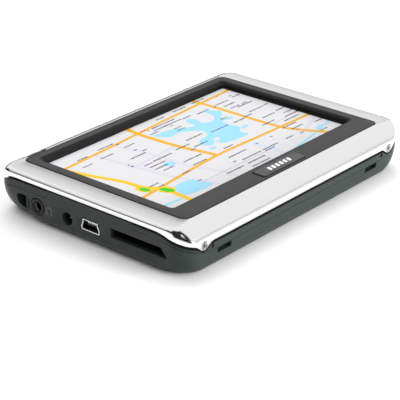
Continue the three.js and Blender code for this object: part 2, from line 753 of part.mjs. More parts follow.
// ---------------------------------------------------------------- board and its parts
function makeMainBoard() {
  const bottom = BOARD_TOP + BOARD_THICKNESS;
  const length = BOARD.right - BOARD.left;
  const middle = (BOARD.right + BOARD.left) / 2;
  let board = plate(
    roundedRectangle(middle, 0, length, 2 * BOARD.half, 2),
    BOARD_TOP,
    bottom,
    3,
  );
  const corner = [BOARD.left - 1, REAR_SCREWS[0][0] + BOSS_RADIUS + 0.6];
  board = cutBy(
    board,
    block(corner, [24.6, BOARD.half + 1], [BOARD_TOP - 1, bottom + 1]),
    block([BOARD.left - 1, -54.6], [-BOARD.half - 1, -33], [BOARD_TOP - 1, bottom + 1]),
    ...BOARD_SCREWS.map(([x, y]) => post(x, y, 1.1, BOARD_TOP - 1, bottom + 1, 12)),
    post(REAR_SCREWS[3][0], REAR_SCREWS[3][1], BOSS_RADIUS + 0.5, BOARD_TOP - 1, bottom + 1),
  );
  return board;
}

const chip = (x, y, length, width, height) =>
  block([x - length / 2, x + length / 2], [y - width / 2, y + width / 2], [
    BOARD_TOP - 0.05 - height,
    BOARD_TOP - 0.05,
  ]);

// A drawn can with rounded corners and a dimple round its top.
function makeRadioShield() {
  const shape = roundedRectangle(-24, 24, 20, 20, 1.2);
  const lid = roundedRectangle(-24, 24, 16, 16, 1);
  return joined(
    plate(shape, BOARD_TOP - 2.2, BOARD_TOP - 0.05, 3),
    plate(lid, BOARD_TOP - 2.6, BOARD_TOP - 2.1, 3),
  );
}

// Ceramic patch aerial with its raised silver electrode and feed pin.
function makeAntenna() {
  const shape = roundedRectangle(0.5, 24, 24, 24, 0.8);
  const electrode = roundedRectangle(0.5, 24, 19, 19, 0.5);
  return joined(
    plate(shape, BOARD_TOP - 4.6, BOARD_TOP - 0.7, 2),
    plate(electrode, BOARD_TOP - 4.7, BOARD_TOP - 4.5, 2),
    post(1.8, 24, 0.9, BOARD_TOP - 4.95, BOARD_TOP - 4.4, 10),
  );
}

function makeHeadphoneJack() {
  const z = below(HEADPHONE.depth);
  const at = [0, HEADPHONE.y, z];
  const nose = PORT_FACE_INSET - 0.3 - HALF_LENGTH;
  const seat = PORT_FACE_INSET + WALL + 0.3 - HALF_LENGTH;
  const body = block(
    [seat, seat + 11.4],
    [HEADPHONE.y - 3.1, HEADPHONE.y + 2.3],
    [HEADPHONE.depth - 2.4, BOARD_TOP - 0.05],
  );
  const barrel = bar("x", at, HEADPHONE.ring - 0.1, nose, seat + 0.1, 24);
  const bore = bar("x", at, HEADPHONE.bore, nose - 1, seat + 10.4, 20);
  const mouth = new THREE.CylinderGeometry(HEADPHONE.bore + 0.6, HEADPHONE.bore - 0.05, 0.7, 20);
  mouth.rotateZ(Math.PI / 2).translate(nose + 0.3, at[1], at[2]);
  return cutBy(joined(body, barrel), bore, solid(mouth));
}

// Leaf spring that touches the plug inside the bore.
function makeHeadphoneContact() {
  const inner = PORT_FACE_INSET + WALL - HALF_LENGTH;
  const z = below(HEADPHONE.depth);
  const y = HEADPHONE.y;
  const leaf = new THREE.Shape();
  leaf.moveTo(inner, z + 1.05);
  leaf.lineTo(inner + 1.2, z + 0.75);
  leaf.lineTo(inner + 6, z + 1.2);
  leaf.lineTo(inner + 6, z + 1.4);
  leaf.lineTo(inner + 1.2, z + 0.95);
  leaf.lineTo(inner, z + 1.25);
  return beamAlongY(leaf, y - 0.6, y + 0.6);
}

function makePowerJack() {
  const seat = PORT_FACE_INSET + WALL + 0.3 - HALF_LENGTH;
  const at = [0, POWER_JACK.y, below(POWER_JACK.depth)];
  const body = block(
    [seat, seat + 9.6],
    [POWER_JACK.y - 3.1, POWER_JACK.y + 3.1],
    [POWER_JACK.depth - 2.6, BOARD_TOP - 0.05],
  );
  return cutBy(body, bar("x", at, POWER_JACK.bore, seat - 1, seat + 8, 20));
}

function makePowerPin() {
  const seat = PORT_FACE_INSET + WALL + 0.3 - HALF_LENGTH;
  const at = [0, POWER_JACK.y, below(POWER_JACK.depth)];
  return bar("x", at, 0.7, seat - 0.4, seat + 7.7, 14);
}

function makeUsbShell() {
  const front = PORT_FACE_INSET - 0.1 - HALF_LENGTH;
  const back = front + 8.6;
  const tube = beamAlongX(usbOutline(0), front, back);
  return cutBy(tube, beamAlongX(usbOutline(-USB.sheet), front - 1, back - 0.6));
}

function makeUsbTongue() {
  const front = PORT_FACE_INSET + 0.9 - HALF_LENGTH;
  const back = PORT_FACE_INSET + 7.5 - HALF_LENGTH;
  const z = USB.depth - 0.35;
  const tongue = block([front, back], [USB.y - 2.3, USB.y + 2.3], [z - 0.6, z + 0.5]);
  return joined(
    tongue,
    beamAlongX(usbOutline(-USB.sheet - 0.2), back - 1.8, back),
  );
}

// Moulded card socket: the card goes into its cavity from the port face.
const SOCKET = { left: -58.4, right: -26.5, low: -35.9, high: -10.2, top: 8.6 };
const CARD_CAVITY = { right: -27.6, low: -35.1, high: -11.1, top: 9, bottom: 11.4 };

function makeCardSocket() {
  const body = block(
    [SOCKET.left, SOCKET.right],
    [SOCKET.low, SOCKET.high],
    [SOCKET.top, BOARD_TOP - 0.05],
  );
  const cavity = block(
    [SOCKET.left - 1, CARD_CAVITY.right],
    [CARD_CAVITY.low, CARD_CAVITY.high],
    [CARD_CAVITY.top, CARD_CAVITY.bottom],
  );
  const corner = block([SOCKET.left - 1, -54.4], [SOCKET.low - 1, -32.8], [11.8, BOARD_TOP + 1]);
  return cutBy(body, cavity, corner);
}

const SLIDER = { left: -33.4, right: -29.4, low: -17, high: -11.5 };

function makeCardSlider() {
  const shape = outline([
    [SLIDER.left, SLIDER.low],
    [SLIDER.left + 1.6, SLIDER.low],
    [SLIDER.right, SLIDER.low + 1.6],
    [SLIDER.right, SLIDER.high],
    [SLIDER.left, SLIDER.high],
  ]);
  return plate(shape, CARD_CAVITY.top + 0.3, CARD_CAVITY.bottom - 0.3);
}

// ---------------------------------------------------------------- power button and switches
const SWITCH = { y: 35.4, depth: 3.2, top: 10.2 };
const PLUNGER_DEPTH = 11.9;

function makePowerButton() {
  const { reach, drop, start } = { reach: 6, drop: 5.8, start: 0.2 };
  const curve = (sink, angle) => [
    HALF_WIDTH - reach + (reach - sink) * Math.sin(angle),
    below(start + drop) + (drop - sink) * Math.cos(angle),
  ];
  const sections = 8;
  const first = 0.13;
  const last = 1.42;
  const key = 1.7;
  const arc = (sink) => steps(sections + 1).map((k) => curve(sink, mix(first, last, k / sections)));
  const shape = outline([...arc(BUTTON_SINK), ...arc(BUTTON_SINK + key).reverse()]);
  const half = BUTTON_NOTCH / 2 - BUTTON_CLEARANCE;
  const cap = beamAlongX(shape, BUTTON_X - half, BUTTON_X + half);
  const leg = block(
    [BUTTON_LEG_X - 1.5, BUTTON_LEG_X + 1.5],
    [38, 39.2],
    [1.4, PLUNGER_DEPTH + 0.8],
  );
  return joined(cap, leg);
}

function makePowerSwitch() {
  const y = [SWITCH.y - SWITCH.depth / 2, SWITCH.y + SWITCH.depth / 2];
  const body = block([BUTTON_LEG_X - 3, BUTTON_LEG_X + 3], y, [SWITCH.top, BOARD_TOP - 0.05]);
  const well = block(
    [BUTTON_LEG_X - 1.3, BUTTON_LEG_X + 1.3],
    [SWITCH.y - 0.4, SWITCH.y + 3],
    [PLUNGER_DEPTH - 0.9, PLUNGER_DEPTH + 0.9],
  );
  return cutBy(body, well);
}

const makePowerPlunger = () =>
  block(
    [BUTTON_LEG_X - 1, BUTTON_LEG_X + 1],
    [SWITCH.y + 0.4, 37.9],
    [PLUNGER_DEPTH - 0.6, PLUNGER_DEPTH + 0.6],
  );

function makeResetSwitch() {
  const top = BOARD_TOP + BOARD_THICKNESS + 0.05;
  const body = block([RESET.x - 2, RESET.x + 2], [RESET.y - 1.6, RESET.y + 1.6], [top, top + 0.95]);
  return cutBy(body, post(RESET.x, RESET.y, 1.1, top - 1, top + 2, 14));
}

const makeResetPlunger = () => {
  const top = BOARD_TOP + BOARD_THICKNESS + 0.5;
  return post(RESET.x, RESET.y, 0.75, top, top + 0.9, 14);
};

// ---------------------------------------------------------------- power and sound
function makeBattery() {
  const shape = roundedRectangle(37, 13.5, 37, 33, 2.2);
  return plate(shape, 9.6, 15.1, 4);
}

const makeBatteryPad = () => plate(roundedRectangle(37, 13.5, 30, 26, 1), 15.25, 16.1, 2);

function makeSpeakerBasket() {
  const r = SPEAKER.radius;
  return turned(
    [
      [0, 9.6],
      [8, 9.6],
      [8, 11.9],
      [r - 1.2, 13.4],
      [r, 13.4],
      [r, 15.4],
      [r - 1.6, 15.4],
      [r - 1.6, 14.3],
      [7, 12.9],
      [0, 12.9],
    ],
    SPEAKER.x,
    SPEAKER.y,
  );
}

function makeSpeakerCone() {
  const r = SPEAKER.radius - 2;
  return turned(
    [
      [0, 14.4],
      [3.5, 14.1],
      [5, 13.5],
      [r - 2, 14.6],
      [r, 14.7],
      [r, 15.1],
      [r - 2, 15.1],
      [5.2, 14.1],
      [3.5, 14.6],
      [0, 14.9],
    ],
    SPEAKER.x,
    SPEAKER.y,
  );
}

function makeSpeakerGasket() {
  const r = SPEAKER.radius;
  const ring = post(SPEAKER.x, SPEAKER.y, r, 15.5, 16.15, 24);
  return cutBy(ring, post(SPEAKER.x, SPEAKER.y, r - 2.2, 15, 17, 24));
}

// A two-wire lead: an oval section along a smooth path of [x, y, depth] points.
function lead(points) {
  const path = new THREE.CatmullRomCurve3(points.map(([x, y, d]) => new THREE.Vector3(x, y, below(d))));
  const section = new THREE.Shape();
  section.absellipse(0, 0, 0.55, 0.95, 0, 2 * Math.PI);
  const options = { steps: 14, bevelEnabled: false, extrudePath: path, curveSegments: 4 };
  return solid(new THREE.ExtrudeGeometry(section, options));
}

// ---------------------------------------------------------------- screws along Z
// Pan-head screw with its head at the bottom of the cover, or at the top of the board.
function verticalScrew([x, y], { head, shank, headFrom, headTo, tip }) {
  const drive = (headFrom < tip ? headFrom : headTo) + (headFrom < tip ? -0.4 : 0.4);
  const face = headFrom < tip ? headFrom : headTo;
  const [low, high] = [Math.min(drive, face), Math.max(drive, face)];
  const into = headFrom < tip ? [low, high + 0.6] : [low - 0.6 - 0.4, high];
  const slot = (a, b) => block([x - a, x + a], [y - b, y + b], into);
  const shaft = headFrom < tip ? [headTo - 0.1, tip] : [tip, headFrom + 0.1];
  return cutBy(
    joined(post(x, y, head, headFrom, headTo, 18), post(x, y, shank, shaft[0], shaft[1], 12)),
    slot(head * 0.6, 0.2),
    slot(0.2, head * 0.6),
  );
}

const rearScrew = (place) =>
  verticalScrew(place, {
    head: 2,
    shank: 0.95,
    headFrom: BODY_HEIGHT - 2.35,
    headTo: BODY_HEIGHT - 0.9,
    tip: SHELF_TOP + 1,
  });

const boardScrew = (place) =>
  verticalScrew(place, {
    head: 1.7,
    shank: 0.8,
    headFrom: BOARD_TOP - 1.15,
    headTo: BOARD_TOP - 0.05,
    tip: BODY_HEIGHT - 1,
  });

const earScrewPiece = ([sx, sy]) => cutBy(earScrew(sx, sy, 0), ...screwSlots(sx, sy));

// ---------------------------------------------------------------- assembly
const navigator3d = new THREE.Group();

function addPiece(group, name, piece, { color, roughness, metalness }) {
  const material = new THREE.MeshStandardMaterial({ color, roughness, metalness });
  const mesh = new THREE.Mesh(geometryOf(piece), material);
  mesh.name = name;
  group.add(mesh);
}

const casing = new THREE.Group();
addPiece(casing, "front_frame", makeFrontFrame(), SILVER);
addPiece(casing, "screen_surround", makeScreenSurround(), SURROUND_BLACK);
addPiece(casing, "badge_plate", makeBadge(), BADGE_GREY);
addPiece(casing, "mid_frame", makeMidFrame(), HOUSING_BLACK);
addPiece(casing, "rear_cover", makeRearCover(), HOUSING_BLACK);
addPiece(casing, "rear_label", makeRearLabel(), LABEL_GREY);

const display = new THREE.Group();
addPiece(display, "touch_panel", panel(103, 65.2, 1, TOUCH_TOP, TOUCH_THICKNESS), SCREEN_GLASS);
addPiece(display, "lcd_panel", panel(104.4, 66.2, 0.6, LCD_TOP, LCD_THICKNESS), SCREEN_GLASS);
addPiece(
  display,
  "backlight_unit",
  panel(105.4, 67, 1.2, BACKLIGHT_TOP, BACKLIGHT_THICKNESS),
  LIGHT_GUIDE,
);
const lcdFlexPath = [
  [-24, 7.25],
  [-26.8, 7.6],
  [-27.6, 9.5],
  [-27.6, 12.4],
  [-30, 13.5],
  [-33, 13.5],
];
const touchFlexPath = [
  [-30.7, 3.05],
  [-31.9, 3.5],
  [-32.1, 6],
  [-32.1, 9],
  [-32.3, 12.6],
  [-34, 13.5],
];
addPiece(display, "lcd_flex", ribbon(lcdFlexPath, 0, 16, 0.15), FLEX_AMBER);
addPiece(display, "touch_flex", ribbon(touchFlexPath, -14, 4, 0.15), FLEX_AMBER);

const electronics = new THREE.Group();
addPiece(electronics, "main_board", makeMainBoard(), BOARD_GREEN);
addPiece(electronics, "processor", chip(-6, -8, 15, 15, 1.5), CHIP_BLACK);
addPiece(electronics, "memory_chip_a", chip(-22, -4, 8, 11, 1.1), CHIP_BLACK);
addPiece(electronics, "memory_chip_b", chip(-33, -3, 8, 11, 1.1), CHIP_BLACK);
addPiece(electronics, "radio_shield", makeRadioShield(), TINPLATE);
addPiece(electronics, "gps_antenna", makeAntenna(), CERAMIC);
addPiece(electronics, "antenna_tape", chip(0.5, 24, 22, 22, 0.5), FOAM);
addPiece(electronics, "power_switch", makePowerSwitch(), SOCKET_BLACK);
addPiece(electronics, "reset_switch", makeResetSwitch(), SOCKET_BLACK);

const sockets = new THREE.Group();
addPiece(sockets, "headphone_jack", makeHeadphoneJack(), SOCKET_BLACK);
addPiece(sockets, "headphone_contact", makeHeadphoneContact(), CONTACT_GOLD);
addPiece(sockets, "power_jack", makePowerJack(), SOCKET_BLACK);
addPiece(sockets, "power_jack_pin", makePowerPin(), CONTACT_GOLD);
addPiece(sockets, "usb_shell", makeUsbShell(), TINPLATE);
addPiece(sockets, "usb_tongue", makeUsbTongue(), SOCKET_BLACK);
addPiece(sockets, "card_socket", makeCardSocket(), SOCKET_BLACK);

const movers = new THREE.Group();
addPiece(movers, "power_button", makePowerButton(), HOUSING_BLACK);
addPiece(movers, "power_switch_plunger", makePowerPlunger(), SOCKET_BLACK);
addPiece(movers, "reset_plunger", makeResetPlunger(), NYLON_WHITE);
addPiece(movers, "card_slider", makeCardSlider(), NYLON_WHITE);

const energy = new THREE.Group();
addPiece(energy, "battery", makeBattery(), BATTERY_FOIL);
addPiece(energy, "battery_pad", makeBatteryPad(), FOAM);
addPiece(energy, "battery_plug", chip(8.5, -3, 5, 6, 2.8), NYLON_WHITE);
addPiece(
  energy,
  "battery_lead",
  lead([
    [11.3, -3, 12.2],
    [13.5, -3, 11.8],
    [15.5, 0.5, 11.5],
    [18.1, 2, 11.5],
  ]),
  LEAD_RED,
);
addPiece(energy, "speaker_basket", makeSpeakerBasket(), STEEL);
addPiece(energy, "speaker_cone", makeSpeakerCone(), CONE_BLACK);
addPiece(energy, "speaker_gasket", makeSpeakerGasket(), FOAM);
addPiece(
  energy,
  "speaker_lead",
  lead([
    [12.6, -18, 12.7],
    [16, -18, 11],
    [21, -18, 10.6],
    [28.4, -18, 10.8],
  ]),
  LEAD_RED,
);

const fasteners = new THREE.Group();
CORNERS.forEach((place, i) => addPiece(fasteners, "ear_screw_" + (i + 1), earScrewPiece(place), STEEL));
REAR_SCREWS.forEach((place, i) => addPiece(fasteners, "rear_screw_" + (i + 1), rearScrew(place), STEEL));
BOARD_SCREWS.forEach((place, i) =>
  addPiece(fasteners, "board_screw_" + (i + 1), boardScrew(place), STEEL),
);

navigator3d.add(casing, display, electronics, sockets, movers, energy, fasteners);
export default navigator3d;
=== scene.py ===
"""The looks of the portable GPS navigator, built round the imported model.

The shells that show are rebuilt here as fine lofts with the same sections as their solids. The
parts inside keep their solids and get their materials. Sizes are in millimetres until a mesh is
made.
"""

import json
import math
import random

import bmesh
import bpy
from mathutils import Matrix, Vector
from mathutils.geometry import delaunay_2d_cdt


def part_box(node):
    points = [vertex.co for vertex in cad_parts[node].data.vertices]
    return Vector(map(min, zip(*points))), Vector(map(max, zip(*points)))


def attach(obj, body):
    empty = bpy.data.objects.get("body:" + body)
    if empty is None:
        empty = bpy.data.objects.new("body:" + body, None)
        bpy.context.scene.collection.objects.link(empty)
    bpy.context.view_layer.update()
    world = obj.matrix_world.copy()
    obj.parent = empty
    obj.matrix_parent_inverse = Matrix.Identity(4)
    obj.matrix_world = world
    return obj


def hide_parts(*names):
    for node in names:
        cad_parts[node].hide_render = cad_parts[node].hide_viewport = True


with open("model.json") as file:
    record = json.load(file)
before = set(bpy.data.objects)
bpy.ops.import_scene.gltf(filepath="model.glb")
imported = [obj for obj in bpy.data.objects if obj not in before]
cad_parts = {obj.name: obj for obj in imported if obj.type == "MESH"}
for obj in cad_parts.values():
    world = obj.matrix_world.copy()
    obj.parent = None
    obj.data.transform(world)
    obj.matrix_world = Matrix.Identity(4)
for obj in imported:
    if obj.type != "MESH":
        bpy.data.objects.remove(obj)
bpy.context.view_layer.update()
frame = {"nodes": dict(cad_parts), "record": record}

MM = 0.001
random.seed(7)

# ------------------------------------------------------------------ sizes taken from the frame


def box_mm(node):
    """Lowest and highest corner of a CAD node in millimetres."""
    low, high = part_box(node)
    return low / MM, high / MM


_, FRAME_HIGH = box_mm("front_frame")
_, SURROUND_HIGH = box_mm("screen_surround")
BADGE_LOW, BADGE_HIGH = box_mm("badge_plate")
TOUCH_LOW, TOUCH_HIGH = box_mm("touch_panel")
BUTTON_LOW, BUTTON_HIGH = box_mm("power_button")
USB_LOW, USB_HIGH = box_mm("usb_shell")
TONGUE_LOW, TONGUE_HIGH = box_mm("usb_tongue")
JACK_LOW, JACK_HIGH = box_mm("headphone_jack")
POWER_LOW, POWER_HIGH = box_mm("power_jack_pin")
LABEL_LOW, LABEL_HIGH = box_mm("rear_label")
RESET_LOW, RESET_HIGH = box_mm("reset_plunger")
SPEAKER_LOW, SPEAKER_HIGH = box_mm("speaker_basket")

HALF_X, HALF_Y = FRAME_HIGH.x, FRAME_HIGH.y
RIM = SURROUND_HIGH.z  # level of the rim round the screen; depths are counted down from it
BACK_DEPTH = RIM
CORNER_RADIUS = 7.5
ARC_LENGTH = math.pi / 2 * CORNER_RADIUS

# Front frame.
SHEET = 1.1
RIM_SHORT = 7.65
RIM_LONG = 6.16
OPENING_RADIUS = 3
LIP_DEPTH = 2.2
EDGE_SHORT = 2.95
EDGE_LONG = 7.5
EAR_X = 51.3
EAR_DROP = 2
EAR_REACH = 4.4
EAR_SCREW_DEPTH = 7.8

# Surround and screen.
SURROUND_GAP = 0.3
SCREEN_HALF_X = 48
SCREEN_HALF_Y = 29.25
SCREEN_Y = 2.55

# Mid frame and rear cover.
BAND_INSET = 0.15
BAND_BACK = 2.4
GROOVE = 0.7
SHELF_TOP = 7.2
SHELF_BOTTOM = 8.2
SHELF_OPENING = (44, 29)
WALL = 1.6
PARTING_SHORT = 5.8
PARTING_LONG = 11
PARTING_HALF_GAP = 0.05
PORT_INSET = 0.4
PORT_PANEL = (-20.5, 18)
# Where the port face starts to lean at each end, counted from the corner's arc, and over what
# length, with the way that the corner beside it curves under.
STRAP_END = {"start": -12, "length": 11, "reach": 7, "drop": 12}
CARD_END = {"start": -5, "length": 8, "reach": 4, "drop": 10.8}
CRADLE_X = 40.9
CRADLE_SLOT = (6.9, 2.0, 2.4)  # length, height and depth
LATCH_LENGTH = 10
SIDE_PIT = (47.1, 9.4, 0.8)
BOARD_SCREW_PLACES = [(-39, 32), (-44, -3.5), (10, -34), (9.5, 5)]

# Sockets.
HEADPHONE_DEPTH = 10.95
POWER_RADIUS = 2.25
CARD = {"low": -35.3, "high": -11, "top": 8.4, "bottom": 11.5, "slant": 2.7}
STRAP = {"y": 29.75, "width": 6.1, "depth": 11.15, "height": 5.2, "bar": 0.65, "bar_y": 28.4}


QUADRANTS = ((1, 1), (-1, 1), (-1, -1), (1, -1))


def mix(a, b, t):
    return a + (b - a) * t


def clamp01(t):
    return max(0.0, min(1.0, t))


def smoothstep(t):
    t = clamp01(t)
    return t * t * (3 - 2 * t)


# ------------------------------------------------------------------ making meshes
def new_object(name, vertices, faces, materials, face_materials=None):
    """A mesh object from millimetre coordinates."""
    mesh = bpy.data.meshes.new(name)
    mesh.from_pydata([Vector(v) * MM for v in vertices], [], faces)
    for material in materials:
        mesh.materials.append(material)
    if face_materials:
        mesh.polygons.foreach_set("material_index", face_materials)
    obj = bpy.data.objects.new(name, mesh)
    bpy.context.scene.collection.objects.link(obj)
    return obj


MERGE = 0.0005  # vertices closer than this become one


def tidy_mesh(obj, sharp_angle=32):
    """Welds, turns the faces outwards and shades smooth across gentle edges."""
    bm = bmesh.new()
    bm.from_mesh(obj.data)
    bmesh.ops.remove_doubles(bm, verts=bm.verts, dist=MERGE * MM)
    bmesh.ops.dissolve_degenerate(bm, edges=bm.edges, dist=MERGE * MM)
    bmesh.ops.recalc_face_normals(bm, faces=bm.faces)
    limit = math.radians(sharp_angle)
    for face in bm.faces:
        face.smooth = True
    for edge in bm.edges:
        edge.smooth = edge.is_manifold and edge.calc_face_angle(0) < limit
    bm.to_mesh(obj.data)
    bm.free()
    return obj


def finish_piece(obj, replaces=(), body="device"):
    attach(obj, body)
    if replaces:
        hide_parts(*replaces)
    return obj


def apply_modifiers(obj):
    """Makes what the modifiers show the object's own mesh."""
    graph = bpy.context.evaluated_depsgraph_get()
    made = bpy.data.meshes.new_from_object(obj.evaluated_get(graph))
    obj.modifiers.clear()
    obj.data = made
    return obj


def combine(obj, others, operation):
    """Boolean of obj with each of the others, which are used up."""
    for other in others:
        other.data.materials.clear()
        modifier = obj.modifiers.new("combine", "BOOLEAN")
        modifier.operation = operation
        modifier.solver = "MANIFOLD"
        modifier.object = other
        apply_modifiers(obj)
        bpy.data.objects.remove(other)
    return obj


def carve(obj, cutters):
    return combine(obj, cutters, "DIFFERENCE")


def weld(obj, others):
    return combine(obj, others, "UNION")


def bevel(obj, width, segments=3):
    """Rounds the piece's sharp edges; width in millimetres."""
    modifier = obj.modifiers.new("round edges", "BEVEL")
    modifier.width = width * MM
    modifier.segments = segments
    modifier.limit_method = "ANGLE"
    modifier.angle_limit = math.radians(40)
    return apply_modifiers(obj)


def stack(name, loops, materials=(), ring=False, band_materials=None):
    """Joins loops of equal length. A ring closes on its first loop, or else the ends are capped."""
    count = len(loops[0])
    vertices = [point for loop in loops for point in loop]
    faces, indices = [], []
    bands = len(loops) if ring else len(loops) - 1
    for level in range(bands):
        following = (level + 1) % len(loops)
        for i in range(count):
            j = (i + 1) % count
            faces.append(
                (level * count + i, level * count + j, following * count + j, following * count + i)
            )
            indices.append(band_materials[level] if band_materials else 0)
    if not ring:
        faces.append(tuple(reversed(range(count))))
        faces.append(tuple(range((len(loops) - 1) * count, len(loops) * count)))
        indices += [indices[0], indices[-1]]
    return new_object(name, vertices, faces, materials, indices)


def block(name, x, y, depths, materials=()):
    """A box between two x, two y and two depths."""
    z = (RIM - depths[1], RIM - depths[0])
    loops = [[(x[0], y[0], h), (x[1], y[0], h), (x[1], y[1], h), (x[0], y[1], h)] for h in z]
    return tidy_mesh(stack(name, loops, materials))


AXES = {"x": Vector((1, 0, 0)), "y": Vector((0, 1, 0)), "z": Vector((0, 0, 1))}


def turned(name, axis, origin, profile, sides=48, materials=()):
    """A turned solid: profile is (radius, distance along axis) from one end to the other."""
    along = AXES[axis]
    across = Vector((0, 0, 1)) if axis != "z" else Vector((1, 0, 0))
    other = along.cross(across)
    loops = []
    for radius, distance in profile:
        centre = Vector(origin) + along * distance
        turn = [2 * math.pi * i / sides for i in range(sides)]
        loops.append([centre + (across * math.cos(a) + other * math.sin(a)) * radius for a in turn])
    return tidy_mesh(stack(name, loops, materials))


def rounded_rectangle(x, y, length, width, radius, steps=6):
    """Outline points of a rounded rectangle, anticlockwise."""
    points = []
    for quadrant, (sx, sy) in enumerate(QUADRANTS):
        cx, cy = x + sx * (length / 2 - radius), y + sy * (width / 2 - radius)
        for i in range(steps + 1):
            angle = (quadrant + i / steps) * math.pi / 2
            points.append((cx + radius * math.cos(angle), cy + radius * math.sin(angle)))
    return points


def rounded_polygon(corners, radius, steps):
    """Rounds each corner of a convex outline with a circular arc."""
    points = []
    count = len(corners)
    for i, corner in enumerate(corners):
        here = Vector(corner)
        before = (Vector(corners[i - 1]) - here).normalized()
        after = (Vector(corners[(i + 1) % count]) - here).normalized()
        half = before.angle(after) / 2
        reach = radius / math.tan(half)
        start, end = here + before * reach, here + after * reach
        for k in range(steps + 1):
            t = k / steps
            points.append(tuple(start * (1 - t) ** 2 + here * 2 * t * (1 - t) + end * t**2))
    return points


def grown(outline, distance):
    """The outline moved outwards by a distance."""
    count = len(outline)
    result = []
    for i in range(count):
        a, b, c = Vector(outline[i - 1]), Vector(outline[i]), Vector(outline[(i + 1) % count])
        edges = [e for e in (b - a, c - b) if e.length > 1e-6]
        direction = sum((e.normalized() for e in edges), Vector((0, 0)))
        normal = Vector((direction.y, -direction.x)).normalized()
        result.append(tuple(b + normal * distance))
    return result


def along_x(outline, x):
    return [(x, a, b) for a, b in outline]


def socket_cutter(name, outline, face_x, depth, mouth):
    """Cuts a socket into the end face, with a softened mouth; outline is in (y, z)."""
    loops = [
        along_x(grown(outline, mouth), face_x - 2),
        along_x(grown(outline, mouth), face_x),
        along_x(grown(outline, mouth * 0.3), face_x + mouth * 0.3),
        along_x(outline, face_x + mouth),
        along_x(outline, face_x + depth),
    ]
    return tidy_mesh(stack(name, loops))


def plate_cutter(name, outline, low, high):
    loops = [[(a, b, z) for a, b in outline] for z in (low, high)]
    return tidy_mesh(stack(name, loops))


# ------------------------------------------------------------------ stations round the perimeter
def corner_point(quadrant, angle, half_x, half_y, radius, centre_y):
    sx, sy = QUADRANTS[quadrant % 4]
    x = sx * (half_x - radius) + radius * math.cos(angle)
    return x, centre_y + sy * (half_y - radius) + radius * math.sin(angle)


class Station:
    """A place on a rounded rectangle of any size.

    progress is the way along the outline from the start of the nearest corner's arc, counted from
    the short side, and left says that the nearest short side is the socket end.
    """

    def __init__(self, quadrant, angle, fraction, progress, left):
        self.quadrant = quadrant
        self.angle = angle
        self.fraction = fraction
        self.progress = progress
        self.left = left

    def at(self, half_x, half_y, radius, centre_y=0.0):
        a = corner_point(self.quadrant, self.angle, half_x, half_y, radius, centre_y)
        if self.fraction is None:
            return a
        b = corner_point(self.quadrant + 1, self.angle, half_x, half_y, radius, centre_y)
        return mix(a[0], b[0], self.fraction), mix(a[1], b[1], self.fraction)

    def inside(self, distance, depth, extra_radius=0.0):
        radius = max(OPENING_RADIUS, CORNER_RADIUS - 0.6 * distance) + extra_radius
        x, y = self.at(HALF_X - distance, HALF_Y - distance, radius)
        return x, y, RIM - depth

    def opening(self, distance, depth):
        x, y = self.at(
            HALF_X - RIM_SHORT + distance, HALF_Y - RIM_LONG + distance, OPENING_RADIUS + distance
        )
        return x, y, RIM - depth


def make_stations(arc_steps, short_marks, long_marks):
    stations = []
    for q in range(4):
        starts_short = q % 2 == 0
        for i in range(arc_steps + 1):
            t = i / arc_steps
            sweep = t if starts_short else 1 - t
            angle = (q + t) * math.pi / 2
            stations.append(Station(q, angle, None, sweep * ARC_LENGTH, q in (1, 2)))
        span = 2 * ((HALF_X if starts_short else HALF_Y) - CORNER_RADIUS)
        marks = long_marks if starts_short else short_marks
        for distance in [*marks, span / 2, *(span - m for m in reversed(marks))]:
            nearest = min(distance, span - distance)
            fraction = distance / span
            progress = ARC_LENGTH + nearest if starts_short else -nearest
            left = q == 1 or (q == 0 and fraction > 0.5) or (q == 2 and fraction < 0.5)
            stations.append(
                Station(q, (q + 1) * math.pi / 2, fraction, progress, left)
            )
    return stations


SHORT_MARKS = [0.6, 1.2, 1.8, 2.4, 3, 3.6, 4.4, 5.5, 7, 9, 13, 20]
LONG_MARKS = [
    0.4, 0.8, 1.2, 1.6, 2, 2.4, 2.8, 3.2, 3.6, 4.1, 4.6, 5.1, 5.6, 6.2, 6.8, 9, 14, 24, 38,
]  # fmt: skip
stations = make_stations(20, SHORT_MARKS, LONG_MARKS)


def side_blend(station):
    return smoothstep(station.progress / ARC_LENGTH)


def ear_blend(station):
    ear = ARC_LENGTH + HALF_X - CORNER_RADIUS - EAR_X
    away = min(1, abs(station.progress - ear) / EAR_REACH)
    return 0.5 + 0.5 * math.cos(math.pi * away)


def is_strap_corner(station):
    x, y = station.at(HALF_X, HALF_Y, CORNER_RADIUS)
    return x < 0 < y


def frame_edge(station):
    late = 2.5 if is_strap_corner(station) else 0
    base = mix(EDGE_SHORT, EDGE_LONG, smoothstep((station.progress + 5 - late) / (18.5 - late)))
    return base + EAR_DROP * ear_blend(station)


def parting(station):
    short = PARTING_SHORT + (0.6 if is_strap_corner(station) else 0)
    return mix(short, PARTING_LONG, smoothstep((station.progress + 3) / 22))


def sectioned(name, section, materials, point_materials):
    """A closed ring whose section changes from station to station."""
    sections = [section(station) for station in stations]
    levels = [[points[k] for points in sections] for k in range(len(sections[0]))]
    return stack(name, levels, materials, ring=True, band_materials=point_materials)


